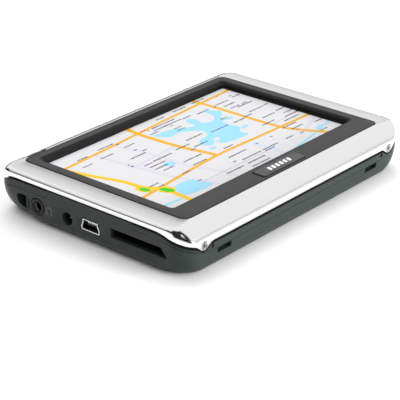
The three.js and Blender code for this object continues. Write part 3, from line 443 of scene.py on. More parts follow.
# ------------------------------------------------------------------ materials
class Nodes:
    """Builds one node tree, with short ways to add and join nodes."""

    def __init__(self, name):
        self.material = bpy.data.materials.new(name)
        self.material.use_nodes = True
        self.tree = self.material.node_tree
        self.tree.nodes.clear()
        self.output = self.add("ShaderNodeOutputMaterial")
        self.shader = self.add("ShaderNodeBsdfPrincipled")
        self.link(self.shader.outputs["BSDF"], self.output.inputs["Surface"])
        self.position = self.add("ShaderNodeTexCoord").outputs["Object"]

    def add(self, kind, **properties):
        node = self.tree.nodes.new(kind)
        for key, value in properties.items():
            setattr(node, key, value)
        return node

    def link(self, source, target):
        self.tree.links.new(source, target)

    def fill(self, target, value):
        if isinstance(value, bpy.types.NodeSocket):
            self.link(value, target)
        elif value is not None:
            target.default_value = value

    def stretched(self, scale):
        """Object coordinates in millimetres times a scale along each axis."""
        mapping = self.add("ShaderNodeMapping")
        mapping.inputs["Scale"].default_value = [s / MM for s in scale]
        self.link(self.position, mapping.inputs["Vector"])
        return mapping.outputs["Vector"]

    def noise(self, vector, scale, detail, roughness=0.5):
        node = self.add("ShaderNodeTexNoise")
        self.link(vector, node.inputs["Vector"])
        node.inputs["Scale"].default_value = scale
        node.inputs["Detail"].default_value = detail
        node.inputs["Roughness"].default_value = roughness
        return node.outputs["Fac"]

    def cells(self, vector, scale, feature):
        node = self.add("ShaderNodeTexVoronoi", feature=feature)
        self.link(vector, node.inputs["Vector"])
        node.inputs["Scale"].default_value = scale
        return node

    def math(self, operation, a, b, c=None):
        node = self.add("ShaderNodeMath", operation=operation)
        for socket, value in zip(node.inputs, (a, b, c)):
            self.fill(socket, value)
        return node.outputs[0]

    def ranged(self, value, low, high, to_low, to_high):
        node = self.add("ShaderNodeMapRange")
        node.interpolation_type = "SMOOTHSTEP"
        for key, item in (
            ("Value", value),
            ("From Min", low),
            ("From Max", high),
            ("To Min", to_low),
            ("To Max", to_high),
        ):
            self.fill(node.inputs[key], item)
        return node.outputs["Result"]

    def blend(self, factor, a, b):
        node = self.add("ShaderNodeMix", data_type="RGBA")
        self.fill(node.inputs[0], factor)
        self.fill(node.inputs[6], a)
        self.fill(node.inputs[7], b)
        return node.outputs[2]

    def bump(self, height, distance):
        node = self.add("ShaderNodeBump")
        self.link(height, node.inputs["Height"])
        node.inputs["Distance"].default_value = distance * MM
        node.inputs["Strength"].default_value = 1
        self.link(node.outputs["Normal"], self.shader.inputs["Normal"])

    def surface(self, **sockets):
        for key, value in sockets.items():
            self.fill(self.shader.inputs[key.replace("_", " ")], value)
        return self.material


def colour(r, g, b):
    """A display colour, 0 to 255, as the linear colour that a shader takes."""

    def linear(v):
        v /= 255
        return v / 12.92 if v <= 0.04045 else ((v + 0.055) / 1.055) ** 2.4

    return (linear(r), linear(g), linear(b), 1.0)


def shade(base, factor):
    return (*(min(1.0, c * factor) for c in base[:3]), 1.0)


def moulded(name, base, rough, grain=0.08, depth=0.012, spread=0.1, **sockets):
    """Moulded plastic: a fine spark-eroded texture, with faint unevenness in colour and gloss."""
    n = Nodes(name)
    fine = n.noise(n.stretched((1, 1, 1)), 1 / grain, 3, 0.6)
    broad = n.noise(n.stretched((1, 1, 1)), 0.09, 3)
    n.bump(fine, depth)
    return n.surface(
        Base_Color=n.blend(broad, shade(base, 1 - spread), shade(base, 1 + spread)),
        Roughness=n.ranged(fine, 0.3, 0.7, rough * 0.88, min(1, rough * 1.12)),
        **sockets,
    )


def drawn_metal(name, base, rough, stroke, depth, spread=0.05):
    """Metal with fine drawn lines; stroke is how fast the lines change along each axis."""
    n = Nodes(name)
    lines = n.noise(n.stretched(stroke), 1, 4, 0.65)
    broad = n.noise(n.stretched((1, 1, 1)), 0.07, 2)
    n.bump(lines, depth)
    tone = n.math("MULTIPLY_ADD", lines, 0.7, n.math("MULTIPLY", broad, 0.3))
    return n.surface(
        Base_Color=n.blend(tone, shade(base, 1 - spread), shade(base, 1 + spread)),
        Roughness=n.ranged(lines, 0.3, 0.7, rough * 0.85, rough * 1.15),
        Metallic=1.0,
    )


def lit_colour(name, shown, glow, pattern=0.03):
    """A colour of the lit display, with the panel's fine cell structure."""
    n = Nodes(name)
    base = shade(shown, 0.66)
    cells = n.noise(n.stretched((9, 9, 1)), 1, 1)
    broad = n.noise(n.stretched((1, 1, 1)), 0.12, 3)
    tone = n.math("MULTIPLY_ADD", cells, 0.6, n.math("MULTIPLY", broad, 0.4))
    picture = n.blend(tone, shade(base, 1 - pattern), shade(base, 1 + pattern))
    n.bump(cells, 0.004)
    return n.surface(
        Base_Color=picture,
        Emission_Color=picture,
        Emission_Strength=glow,
        Roughness=n.ranged(cells, 0.3, 0.7, 0.3, 0.4),
        Specular_IOR_Level=0.2,
    )


def metal_colour(level):
    return (level, level, level, 1.0)


silver_brushed = drawn_metal("silver_brushed", metal_colour(0.8), 0.34, (3.2, 0.03, 3.2), 0.006)
silver_polished = drawn_metal(
    "silver_polished", metal_colour(0.86), 0.16, (0.02, 1.4, 1.4), 0.0012, 0.02
)
housing_plastic = moulded(
    "housing_plastic", colour(37, 46, 43), 0.38, 0.14, 0.012, Specular_IOR_Level=0.28
)
key_plastic = moulded("key_plastic", colour(34, 35, 35), 0.32, 0.2, 0.004)
icon_grey = moulded("icon_grey", colour(84, 92, 89), 0.4, 0.2, 0.004)
socket_plastic = moulded("socket_plastic", colour(20, 21, 21), 0.5, 0.2, 0.01)
surround_plastic = moulded("surround_plastic", colour(35, 37, 35), 0.45, 0.14, 0.006)
# The black plastic painted darker, as painted shade: on the surround's slope down to the screen and
# on the mid frame's strip beside the groove under the silver edge.
plastic_painted_shade = moulded("plastic_painted_shade", colour(14, 16, 15), 0.4, 0.14, 0.006, IOR=1.3)
badge_paint = moulded("badge_paint", colour(36, 39, 38), 0.3, 0.1, 0.003, Coat_Weight=0.2)
badge_print = moulded("badge_print", colour(236, 237, 236), 0.4, 0.1, 0.003)
label_film = moulded("label_film", colour(168, 171, 169), 0.45, 0.3, 0.004, 0.03)
nylon = moulded("nylon", colour(214, 211, 198), 0.5, 0.2, 0.008, 0.05)
foam = moulded("foam", colour(44, 45, 48), 0.95, 0.35, 0.09, 0.3)
chip_epoxy = moulded("chip_epoxy", colour(32, 33, 36), 0.6, 0.1, 0.01)
ceramic = moulded("ceramic", colour(190, 180, 158), 0.6, 0.15, 0.01, 0.06)
flex_film = moulded("flex_film", colour(196, 128, 44), 0.35, 0.3, 0.004, 0.12)
lead_sheath = moulded("lead_sheath", colour(158, 28, 24), 0.45, 0.4, 0.01)
cone_paper = moulded("cone_paper", colour(36, 36, 38), 0.85, 0.25, 0.03, 0.2)
shell_nickel = drawn_metal("shell_nickel", metal_colour(0.95), 0.3, (0.4, 5, 5), 0.002)
# Nickel painted dark, as painted shade deep in the sockets: the USB shell's inner faces, the
# headphone sleeve and the power pin.
nickel_painted_shade = drawn_metal("nickel_painted_shade", metal_colour(0.16), 0.35, (0.4, 5, 5), 0.002)
tinplate = drawn_metal("tinplate", metal_colour(0.8), 0.22, (0.4, 5, 5), 0.002)
steel = drawn_metal("steel", metal_colour(0.56), 0.3, (1, 1, 1), 0.004)
screw_metal = drawn_metal("screw_metal", metal_colour(0.42), 0.28, (2, 2, 2), 0.004)
gold = drawn_metal("gold", (0.86, 0.62, 0.26, 1), 0.22, (2, 2, 2), 0.002)
foil = drawn_metal("foil", metal_colour(0.66), 0.34, (0.6, 0.6, 0.6), 0.03)
light_tray = drawn_metal("light_tray", metal_colour(0.72), 0.3, (0.1, 3, 3), 0.003)


def make_board_material():
    """Green solder mask over copper tracks."""
    n = Nodes("board_mask")
    track = n.cells(n.stretched((1, 1, 1)), 0.5, "DISTANCE_TO_EDGE").outputs["Distance"]
    line = n.ranged(track, 0.05, 0.12, 1, 0)
    n.bump(line, 0.03)
    return n.surface(
        Base_Color=n.blend(line, colour(22, 78, 44), colour(52, 128, 70)),
        Roughness=n.ranged(line, 0, 1, 0.4, 0.3),
    )


def make_glass_edge_material():
    n = Nodes("lcd_cell")
    haze = n.noise(n.stretched((1, 1, 1)), 0.4, 2)
    return n.surface(
        Base_Color=n.blend(haze, colour(150, 156, 160), colour(176, 182, 186)),
        Roughness=n.ranged(haze, 0.3, 0.7, 0.08, 0.16),
    )


SLOT_MATERIALS = {
    "silver_shell": silver_polished,
    "surround_black": surround_plastic,
    "housing_black": housing_plastic,
    "key_black": key_plastic,
    "badge": badge_paint,
    "label_film": label_film,
    "lcd_cell": make_glass_edge_material(),
    "light_guide": light_tray,
    "flex_film": flex_film,
    "board_mask": make_board_material(),
    "chip_epoxy": chip_epoxy,
    "tinplate": tinplate,
    "ceramic": ceramic,
    "contact_gold": gold,
    "socket_black": socket_plastic,
    "nylon_white": nylon,
    "battery_foil": foil,
    "foam": foam,
    "speaker_steel": steel,
    "cone_paper": cone_paper,
    "lead_red": lead_sheath,
    "screw_steel": screw_metal,
}


def dress_cad_nodes():
    """Gives every CAD node the material of its slot."""
    for part in frame["record"]["subparts"]:
        material = SLOT_MATERIALS.get(part["material_slot"])
        if material:
            for slot in frame["nodes"][part["node"]].material_slots:
                slot.material = material


dress_cad_nodes()

# ------------------------------------------------------------------ front frame
POLISHED, BRUSHED = 0, 1


def frame_section(station):
    """Section of the silver sheet: lip, flat top, outer curve, lower edge, and back up inside."""
    s = side_blend(station)
    reach, drop, start = mix(1.5, 6, s), mix(1.5, 5.8, s), mix(0.45, 0.2, s)
    rim = mix(RIM_SHORT, RIM_LONG, s)
    low = frame_edge(station)
    curve_steps = 14
    angles = [k / curve_steps * math.pi / 2 for k in range(curve_steps + 1)]
    outer = [
        station.inside(reach * (1 - math.sin(a)), start + drop * (1 - math.cos(a))) for a in angles
    ]
    first = math.asin(clamp01((reach - rim + SHEET) / (reach - SHEET)))
    inner = []
    for k in range(curve_steps, 0, -1):
        angle = mix(first, math.pi / 2, k / curve_steps)
        distance = reach - (reach - SHEET) * math.sin(angle)
        inner.append(station.inside(distance, start + drop - (drop - SHEET) * math.cos(angle)))
    return [
        station.opening(0, LIP_DEPTH),
        station.opening(0, 0.36),
        station.opening(0.05, 0.21),
        station.opening(0.16, 0.16),
        *outer,
        station.inside(0, low - 0.22),
        station.inside(0.06, low - 0.06),
        station.inside(0.22, low),
        station.inside(SHEET - 0.1, low),
        station.inside(SHEET, low - 0.1),
        *inner,
        station.opening(SHEET, start + SHEET + 0.1),
        station.opening(SHEET, LIP_DEPTH),
    ]


def screw_hole(name, sx, sy, head, shank, reach):
    """Stepped cutter for a countersunk screw that goes in along Y."""
    origin = (sx * EAR_X, 0, RIM - EAR_SCREW_DEPTH)
    face = HALF_Y - 0.05
    profile = [(head, HALF_Y + 2), (head, face), (shank, face - 1), (shank, face - reach)]
    return turned(name, "y", origin, [(r, sy * d) for r, d in profile], 28)


def ear_holes():
    return [screw_hole("hole", sx, sy, 1.55, 0.9, 3.9) for sx in (-1, 1) for sy in (-1, 1)]


NOTCH = (BUTTON_LOW.x - 0.3, BUTTON_HIGH.x + 0.3)
NOTCH_Y = (36.6, HALF_Y + 3)


def make_front_frame():
    count = len(frame_section(stations[0]))
    bands = [POLISHED] * count
    bands[3] = BRUSHED
    shell = sectioned("silver_front_frame", frame_section, [silver_polished, silver_brushed], bands)
    tidy_mesh(shell, 30)
    notch = block("notch", NOTCH, NOTCH_Y, (-3, 5.5))
    carve(shell, [*ear_holes(), bevel(notch, 0.5, 4)])
    tidy_mesh(shell, 30)
    return finish_piece(shell, ["front_frame"])


make_front_frame()


# ------------------------------------------------------------------ screen surround and badge
def surround_section(station):
    half_x = HALF_X - RIM_SHORT - SURROUND_GAP
    half_y = HALF_Y - RIM_LONG - SURROUND_GAP
    radius = OPENING_RADIUS - SURROUND_GAP
    bottom = 2.3

    def outer(inset, depth):
        x, y = station.at(half_x - inset, half_y - inset, radius - inset)
        return x, y, RIM - depth

    def opening(grow, depth):
        x, y = station.at(SCREEN_HALF_X + grow, SCREEN_HALF_Y + grow, 1 + grow * 0.6, SCREEN_Y)
        return x, y, RIM - depth

    slope = []
    steps = 10
    for k in range(steps + 1):
        angle = k / steps * math.pi / 2
        slope.append(opening(2.05 * (1 - math.sin(angle)), bottom * (1 - math.cos(angle))))
    return [outer(0, bottom), outer(0, 0.2), outer(0.06, 0.06), outer(0.2, 0), *slope]


BADGE_CENTRE = (BADGE_LOW + BADGE_HIGH) / 2
BADGE_SIZE = BADGE_HIGH - BADGE_LOW


def badge_outline(growth):
    length, width = BADGE_SIZE.x + growth, BADGE_SIZE.y + growth
    return rounded_rectangle(BADGE_CENTRE.x, BADGE_CENTRE.y, length, width, 1 + growth / 2)


def make_surround():
    # The slope down to the screen takes the darker plastic, as painted shade.
    bands = [0, 0, 0, 0, 0, *[1] * 9, 0]
    materials = [surround_plastic, plastic_painted_shade]
    ring = sectioned("dark_screen_surround", surround_section, materials, bands)
    tidy_mesh(ring, 30)
    inner = HALF_X - RIM_SHORT - SURROUND_GAP - 1.1
    flanges = []
    for side in (-1, 1):
        x = sorted((side * inner, side * SURROUND_HIGH.x))
        step = sorted((side * inner, side * (inner + 1.1)))
        flanges.append(block("step", step, (-30, 30), (1.9, 2.9)))
        flanges.append(block("flange", x, (-30, 30), (2.5, 3.3)))
    weld(ring, flanges)
    carve(ring, [plate_cutter("pocket", badge_outline(0.6), RIM - 0.7, RIM + 2)])
    tidy_mesh(ring, 30)
    return finish_piece(ring, ["screen_surround"])


def make_badge():
    """Raised plate with a softly crowned rim."""
    levels = [(0, 0), (0, 0.7), (0.06, 0.84), (0.18, 0.93), (0.35, 0.95)]
    loops = []
    for inset, rise in levels:
        z = BADGE_LOW.z + rise * BADGE_SIZE.z
        loops.append([(a, b, z) for a, b in grown(badge_outline(0), -inset)])
    plate = tidy_mesh(stack("badge_plate_fine", loops, [badge_paint]))
    return finish_piece(plate, ["badge_plate"])


def make_badge_marks():
    """A plain ornament: a row of slanted bars."""
    parts = []
    top = BADGE_HIGH.z
    height = (top - 0.06, top - 0.02)
    for i in range(6):
        x = (i - 2.5) * 2.1
        corners = [(x - 0.85, -1.05), (x + 0.35, -1.05), (x + 0.85, 1.05), (x - 0.35, 1.05)]
        parts.append([(a, BADGE_CENTRE.y + b) for a, b in corners])
    vertices, faces = [], []
    for corners in parts:
        base, count = len(vertices), len(corners)
        vertices += [(a, b, z) for z in height for a, b in corners]
        faces.append([base + i for i in reversed(range(count))])
        faces.append([base + count + i for i in range(count)])
        for i in range(count):
            j = (i + 1) % count
            faces.append((base + i, base + j, base + count + j, base + count + i))
    marks = tidy_mesh(new_object("badge_marks", vertices, faces, [badge_print]))
    return finish_piece(marks)


make_surround()
make_badge()
make_badge_marks()


# ------------------------------------------------------------------ mid frame
def port_nearness(station):
    """1 beside the raised panel of the port face, falling to 0 along the band at its ends."""
    x, y = station.at(HALF_X, HALF_Y, CORNER_RADIUS)
    if not station.left or x > CORNER_RADIUS - HALF_X:
        return 0.0
    away = max(PORT_PANEL[0] - y, y - PORT_PANEL[1])
    return 1 - smoothstep(away / 9)


def band_section(station):
    """The black band below the silver edge, with the shelf that carries the display."""
    s = side_blend(station)
    inset = mix(BAND_INSET, PORT_INSET, port_nearness(station))
    top = frame_edge(station) + mix(GROOVE, 0.3, ear_blend(station))
    bottom = parting(station) - PARTING_HALF_GAP
    post = BAND_BACK + 1
    wall_top = mix(2.8, 5, s)
    rib_bottom = mix(SHELF_BOTTOM + 0.05, SHELF_BOTTOM + 1, s)
    bevel_size = 0.12
    shelf = station.at(SHELF_OPENING[0], SHELF_OPENING[1], 3)
    return [
        station.inside(inset + bevel_size, top),
        station.inside(inset, top + bevel_size),
        station.inside(inset, top + 0.4),
        station.inside(inset, bottom - bevel_size),
        station.inside(inset + bevel_size, bottom),
        station.inside(BAND_BACK, bottom),
        station.inside(BAND_BACK, rib_bottom),
        station.inside(post, rib_bottom),
        station.inside(post + 0.01, SHELF_BOTTOM),
        (*shelf, RIM - SHELF_BOTTOM),
        (*shelf, RIM - SHELF_TOP),
        station.inside(post, SHELF_TOP),
        station.inside(post, wall_top),
        station.inside(SHEET + 0.35, wall_top),
        station.inside(SHEET + 0.35, top),
    ]


REAR_SCREWS = [box_mm(f"rear_screw_{i}") for i in range(1, 5)]
REAR_SCREW_PLACES = [((low + high) / 2).xy for low, high in REAR_SCREWS]
LEG_SLOT = (-47, -43)
FLEX_WINDOW = ((-17, -11), (-33.4, -28))


def post(name, place, radius, depths, sides=32):
    return turned(name, "z", (*place, RIM), [(radius, -depths[1]), (radius, -depths[0])], sides)


def make_mid_frame():
    # The band's top beside the groove under the silver edge takes the darker plastic, as painted
    # shade.
    bands = [1, 1, *[0] * 12, 1]
    band = sectioned("black_mid_frame", band_section, [housing_plastic, plastic_painted_shade], bands)
    tidy_mesh(band, 30)
    bosses = []
    for sx in (-1, 1):
        for sy in (-1, 1):
            y = sorted((sy * (HALF_Y - 2.2), sy * (HALF_Y - 4.6)))
            x = (sx * EAR_X - 2.3, sx * EAR_X + 2.3)
            bosses.append(block("boss", x, y, (6, EAR_SCREW_DEPTH + 2)))
    bosses += [post("boss", p, 2.8, (7.4, 10.8)) for p in REAR_SCREW_PLACES]
    weld(band, bosses)
    notch_y = (PORT_PANEL[0] - 0.03, PORT_PANEL[1] + 0.03)
    pit_x, pit_depth, pit_radius = SIDE_PIT
    cutters = ear_holes()
    cutters += [post("hole", p, 1.25, (7.8, 14), 20) for p in REAR_SCREW_PLACES]
    cutters += [
        block("port_notch", (-HALF_X - 1, 2.35 - HALF_X), notch_y, (2, 7)),
        block("button_notch", (NOTCH[0] - 0.3, NOTCH[1] + 0.3), NOTCH_Y, (-3, 5.8)),
        block("leg_slot", LEG_SLOT, (36.9, 39.65), (6.7, 9.7)),
        block("flex_window", *FLEX_WINDOW, (6.7, 8.7)),
        turned(
            "barrel",
            "x",
            (0, HEADPHONE_Y, RIM - HEADPHONE_DEPTH),
            [(3.3, -HALF_X - 1), (3.3, 4 - HALF_X)],
        ),
    ]
    for side in (-1, 1):
        profile = [(pit_radius, -HALF_Y - 1), (pit_radius, -HALF_Y + 0.6), (0.3, -HALF_Y + 0.85)]
        cutters.append(turned("pit", "y", (side * pit_x, 0, RIM - pit_depth), profile, 24))
    carve(band, cutters)
    tidy_mesh(band, 30)
    return finish_piece(band, ["mid_frame"])


HEADPHONE_Y = (box_mm("headphone_contact")[0].y + box_mm("headphone_contact")[1].y) / 2
make_mid_frame()


# ------------------------------------------------------------------ rear cover
def cover_curve(station):
    long = side_blend(station)
    end = STRAP_END if is_strap_corner(station) else CARD_END
    lean = smoothstep((station.progress - end["start"]) / end["length"])
    upright = 1 - lean if station.left else 0
    return {
        "base": mix(BAND_INSET, PORT_INSET, upright),
        "reach": mix(mix(end["reach"], 2.8, long), 4, upright),
        "drop": mix(mix(end["drop"], 9.5, long), 4.4, upright),
        "swell": mix(4, 0, upright),
    }


def cover_point(station, wall, angle):
    curve = cover_curve(station)
    inset = curve["reach"] * (1 - math.cos(angle))
    depth = BACK_DEPTH - curve["drop"] + (curve["drop"] - wall) * math.sin(angle)
    swell = curve["swell"] * (1 - math.cos(angle))
    return station.inside(curve["base"] + wall + inset, depth, swell)


def cover_wall(station, wall, steps):
    """Points down one face of the cover's wall, from the joint to the flat back."""
    drop = cover_curve(station)["drop"]
    top = parting(station) + PARTING_HALF_GAP
    start = math.asin(clamp01((top - BACK_DEPTH + drop) / (drop - wall)))
    x, y, _ = cover_point(station, wall, start)
    points = [(x, y, RIM - top)]
    for k in range(1, steps + 1):
        points.append(cover_point(station, wall, mix(start, math.pi / 2, k / steps)))
    return points


COVER_STEPS = 16


def cover_loops():
    steps = COVER_STEPS
    walls = [(cover_wall(st, 0, steps), cover_wall(st, WALL, steps)) for st in stations]
    outside = [[outer[k] for outer, _ in walls] for k in range(steps, -1, -1)]
    inside = [[inner[k] for _, inner in walls] for k in range(steps + 1)]
    return outside + inside


USB_CENTRE = (USB_LOW + USB_HIGH) / 2
USB_SIZE = USB_HIGH - USB_LOW


def usb_outline(growth):
    """Trapezium of the mini USB shell in (y, z), wider at the bottom."""
    half_low, half_high = USB_SIZE.y / 2, USB_SIZE.y / 2 - 0.65
    y, z, rise = USB_CENTRE.y, USB_CENTRE.z, USB_SIZE.z / 2
    corners = [
        (y - half_low, z - rise),
        (y + half_low, z - rise),
        (y + half_low, z - rise * 0.25),
        (y + half_high, z + rise * 0.45),
        (y + half_high, z + rise),
        (y - half_high, z + rise),
        (y - half_high, z + rise * 0.45),
        (y - half_low, z - rise * 0.25),
    ]
    return grown(rounded_polygon(corners, 0.42, 4), growth)


def card_outline():
    corners = [
        (CARD["high"], RIM - CARD["top"]),
        (CARD["low"] + CARD["slant"], RIM - CARD["top"]),
        (CARD["low"], RIM - CARD["bottom"]),
        (CARD["high"], RIM - CARD["bottom"]),
    ]
    return rounded_polygon(corners, 0.3, 4)


def circle(y, z, radius):
    sides = 40
    turn = [2 * math.pi * i / sides for i in range(sides)]
    return [(y + radius * math.cos(a), z + radius * math.sin(a)) for a in turn]


PORT_FACE = PORT_INSET - HALF_X
POWER_Y = (POWER_LOW.y + POWER_HIGH.y) / 2
POWER_Z = (POWER_LOW.z + POWER_HIGH.z) / 2


def port_cutters():
    strap = rounded_rectangle(
        STRAP["y"], RIM - STRAP["depth"], STRAP["width"], STRAP["height"], STRAP["height"] * 0.35
    )
    strap_tool = socket_cutter("strap", strap, PORT_FACE, 4.2, 0.3)
    rise = STRAP["height"] / 2 + 1
    strap_bar = turned(
        "strap_bar",
        "z",
        (PORT_FACE + 1.3, STRAP["bar_y"], RIM - STRAP["depth"]),
        [(STRAP["bar"], -rise), (STRAP["bar"], rise)],
        20,
    )
    carve(strap_tool, [strap_bar])
    headphone = circle(HEADPHONE_Y, RIM - HEADPHONE_DEPTH, 3.12)
    return [
        strap_tool,
        socket_cutter("headphone", headphone, PORT_FACE, 3, 0.15),
        socket_cutter("power", circle(POWER_Y, POWER_Z, POWER_RADIUS), PORT_FACE, 3, 0.3),
        socket_cutter("usb", usb_outline(0.28), PORT_FACE, 3, 0.25),
        socket_cutter("card", card_outline(), PORT_FACE, 3, 0.3),
    ]


def cradle_cutter(x, length, side):
    _, height, depth = CRADLE_SLOT
    top = PARTING_LONG + 0.15
    y = sorted((side * (HALF_Y - depth), side * (HALF_Y + 1)))
    return block("cradle", (x - length / 2, x + length / 2), y, (top, top + height))


def cradle_pad(x, length, side):
    y = sorted((side * (HALF_Y - 3.8), side * (HALF_Y - 1.2)))
    return block("pad", (x - length / 2 - 1, x + length / 2 + 1), y, (PARTING_LONG + 0.1, 14))


GRILLE_SLOTS = 5
GRILLE_PITCH = 3.4


def grille_cutters():
    centre = (SPEAKER_LOW + SPEAKER_HIGH) / 2
    cutters = []
    for i in range(GRILLE_SLOTS):
        offset = (i - (GRILLE_SLOTS - 1) / 2) * GRILLE_PITCH
        length = 18 - abs(offset) * 0.7
        slot = rounded_rectangle(centre.x, centre.y + offset, length, 1.5, 0.74, 8)
        loops = [
            [(a, b, -1) for a, b in grown(slot, 0.2)],
            [(a, b, 0) for a, b in grown(slot, 0.2)],
            [(a, b, 0.2) for a, b in slot],
            [(a, b, WALL + 1) for a, b in slot],
        ]
        cutters.append(tidy_mesh(stack("grille", loops)))
    return cutters


STRAP_BLOCK_Y = (25.4, 33.6)


def strap_block():
    """Solid behind the strap recess, trimmed to the cover's outside."""
    depths = (8.5, BACK_DEPTH - WALL + 0.2)
    solid = block("strap", (PORT_FACE + 0.8, PORT_FACE + 5.4), STRAP_BLOCK_Y, depths)
    outside = tidy_mesh(stack("outside", cover_loops()[: COVER_STEPS + 1]))
    return combine(solid, [outside], "INTERSECT")


def make_rear_cover():
    cover = stack("black_rear_cover", cover_loops(), [housing_plastic])
    tidy_mesh(cover, 30)
    floor = BACK_DEPTH - WALL
    reset = (RESET_LOW + RESET_HIGH) / 2
    label = (LABEL_LOW + LABEL_HIGH) / 2
    label_size = LABEL_HIGH - LABEL_LOW
    panel_x = (PORT_FACE, PORT_FACE + 1.6)
    weld(
        cover,
        [
            block("panel", panel_x, PORT_PANEL, (EDGE_SHORT + GROOVE, PARTING_SHORT + 0.6)),
            strap_block(),
            cradle_pad(-CRADLE_X, CRADLE_SLOT[0], -1),
            cradle_pad(CRADLE_X, CRADLE_SLOT[0], -1),
            cradle_pad(0, LATCH_LENGTH, 1),
            *(post("boss", p, 2.8, (11.1, floor + 0.5)) for p in REAR_SCREW_PLACES),
            *(post("boss", p, 2.4, (14.75, floor + 0.5)) for p in BOARD_SCREW_PLACES),
        ],
    )
    recess = rounded_rectangle(label.x, label.y, label_size.x + 0.6, label_size.y + 0.6, 1.5)
    carve(
        cover,
        [
            *port_cutters(),
            cradle_cutter(-CRADLE_X, CRADLE_SLOT[0], -1),
            cradle_cutter(CRADLE_X, CRADLE_SLOT[0], -1),
            cradle_cutter(0, LATCH_LENGTH, 1),
            *(post("hole", p, 1.3, (SHELF_BOTTOM, BACK_DEPTH - 2), 24) for p in REAR_SCREW_PLACES),
            *(screw_well(p) for p in REAR_SCREW_PLACES),
            *(post("hole", p, 1.1, (13.7, BACK_DEPTH - 0.7), 20) for p in BOARD_SCREW_PLACES),
            post("reset", reset.xy, 1.1, (floor - 1, BACK_DEPTH + 1), 24),
            plate_cutter("label", recess, -1, 0.3),
            *grille_cutters(),
        ],
    )
    tidy_mesh(cover, 30)
    return finish_piece(cover, ["rear_cover"])


def screw_well(place):
    """Stepped well for a rear screw's head, with a softened rim."""
    profile = [(2.65, -1), (2.65, 0), (2.4, 0.22), (2.4, 2.4)]
    return turned("well", "z", (*place, 0), profile, 40)


make_rear_cover()


# ------------------------------------------------------------------ map on the display
def ribbon(points, width):
    """Outline of a road of a given width that follows a smooth line through the points."""
    line = smooth_line(points, 6)
    left, right = [], []
    for i, here in enumerate(line):
        ahead = line[min(i + 1, len(line) - 1)] - line[max(i - 1, 0)]
        normal = Vector((-ahead.y, ahead.x)).normalized() * width / 2
        left.append(here + normal)
        right.append(here - normal)
    return [tuple(p) for p in left + right[::-1]]


def smooth_line(points, steps, closed=False):
    """Catmull-Rom curve through the points."""
    control = [Vector(p) for p in points]
    count = len(control)
    spans = count if closed else count - 1
    result = []
    for i in range(spans):
        if closed:
            a, b, c, d = (control[(i + k) % count] for k in (-1, 0, 1, 2))
        else:
            b, c = control[i], control[i + 1]
            a = control[i - 1] if i else b * 2 - c
            d = control[i + 2] if i + 2 < count else c * 2 - b
        for k in range(steps):
            t = k / steps
            result.append(
                0.5
                * (
                    2 * b
                    + (c - a) * t
                    + (2 * a - 5 * b + 4 * c - d) * t**2
                    + (3 * b - a - 3 * c + d) * t**3
                )
            )
    if not closed:
        result.append(control[-1])
    return result


def shore(points):
    return [tuple(p) for p in smooth_line(points, 5, closed=True)]


def blob(x, y, length, width, turn=0.0, sides=20):
    outline = []
    for i in range(sides):
        a = 2 * math.pi * i / sides
        u, v = length / 2 * math.cos(a), width / 2 * math.sin(a)
        across = x + u * math.cos(turn) - v * math.sin(turn)
        up = y + u * math.sin(turn) + v * math.cos(turn)
        outline.append((across, up))
    return outline


# Everything on the map is invented country: places in millimetres from the screen's middle line.
EDGE = 49
HIGH_ROAD = [(-EDGE, 23.8), (-20, 25.3), (8, 27), (EDGE, 29)]
LOW_ROAD = [(-EDGE, -12.1), (-24, -9.6), (-3.3, -8), (20, -8.5), (EDGE, -9.4)]
WEST_AVENUE = [(-6.1, 33), (-6.7, 24), (-6.4, 14), (-5.5, 5), (-3.6, -4), (-2.9, -8)]
EAST_AVENUE = [(30.3, 33), (30.9, 22), (31.1, 4), (31.7, -9), (34.2, -16), (40.6, -28)]
RING_ROAD = [(-46.6, 23), (-44, 13), (-40.6, 2), (-39.6, -6), (-36.2, -13), (-36.8, -28)]
LANES = [
    [(-30.5, 24.5), (-29.5, 12), (-26.5, -8), (-23, -17), (-20, -28)],
    [(-20, 25), (-17.5, 12), (-16.5, -8)],
    [(13.9, -9), (13.9, -24)],
    [(-16, -9.5), (-12.5, -17), (-12, -28)],
    [(-29, 7), (-6, 8.5)],
    [(34, -18), (EDGE, -12)],
]
LAKE = [
    (-4.6, 20.6), (0.5, 20.2), (6, 18.9), (9.6, 16.4), (12.4, 15.2), (13, 19.5), (15.2, 22),
    (17, 19.5), (16.6, 14.6), (21, 13.6), (24, 16.5), (25, 21.6), (27.2, 21), (29.4, 17),
    (25.6, 13.8), (24.5, 11.8), (27.8, 11.2), (26.6, 9.4), (22.4, 10.6), (21.4, 6.6), (22.2, 2.6),
    (19, -0.4), (18.8, -4.4), (13, -4.2), (7, -2.9), (6, 0.2), (2.4, -0.8), (0.4, 2.6), (4, 5.6),
    (8.6, 6.2), (10.2, 10.4), (6.6, 13.8), (3.4, 15.4), (-1.6, 15.2),
]  # fmt: skip
LAKE_ISLAND = blob(7.9, 1.4, 3.6, 2.4, 0.5)
SOUTH_LAKE = [(-33, -14.2), (-25.2, -14), (-23.6, -18), (-22, -22), (-27, -22.6), (-35.4, -20.8)]
POND = [(-21.2, 1.2), (-18, 1), (-17.4, -1.2), (-19.4, -2.2), (-21.6, -1)]
RIVER = [(15, -25.8), (24, -24), (36, -21.8), (EDGE, -18.4)]
BROOK = [(-EDGE, -20.6), (-44, -21.4), (-36, -22)]
PONDS = [blob(1, -2.8, 3.4, 1.8), blob(23.4, 1.2, 4.4, 2, 0.2), blob(41, -19.6, 5, 1.8, 0.3)]
PARKS = [blob(-40.6, -8, 2.7, 4, 0.2), blob(-35.9, -13.8, 2.9, 5.4, 0.35)]
JUNCTIONS = [blob(-40.4, -7.6, 5, 6.2, 0.2), blob(-35.9, -13.4, 5.2, 7, 0.3)]


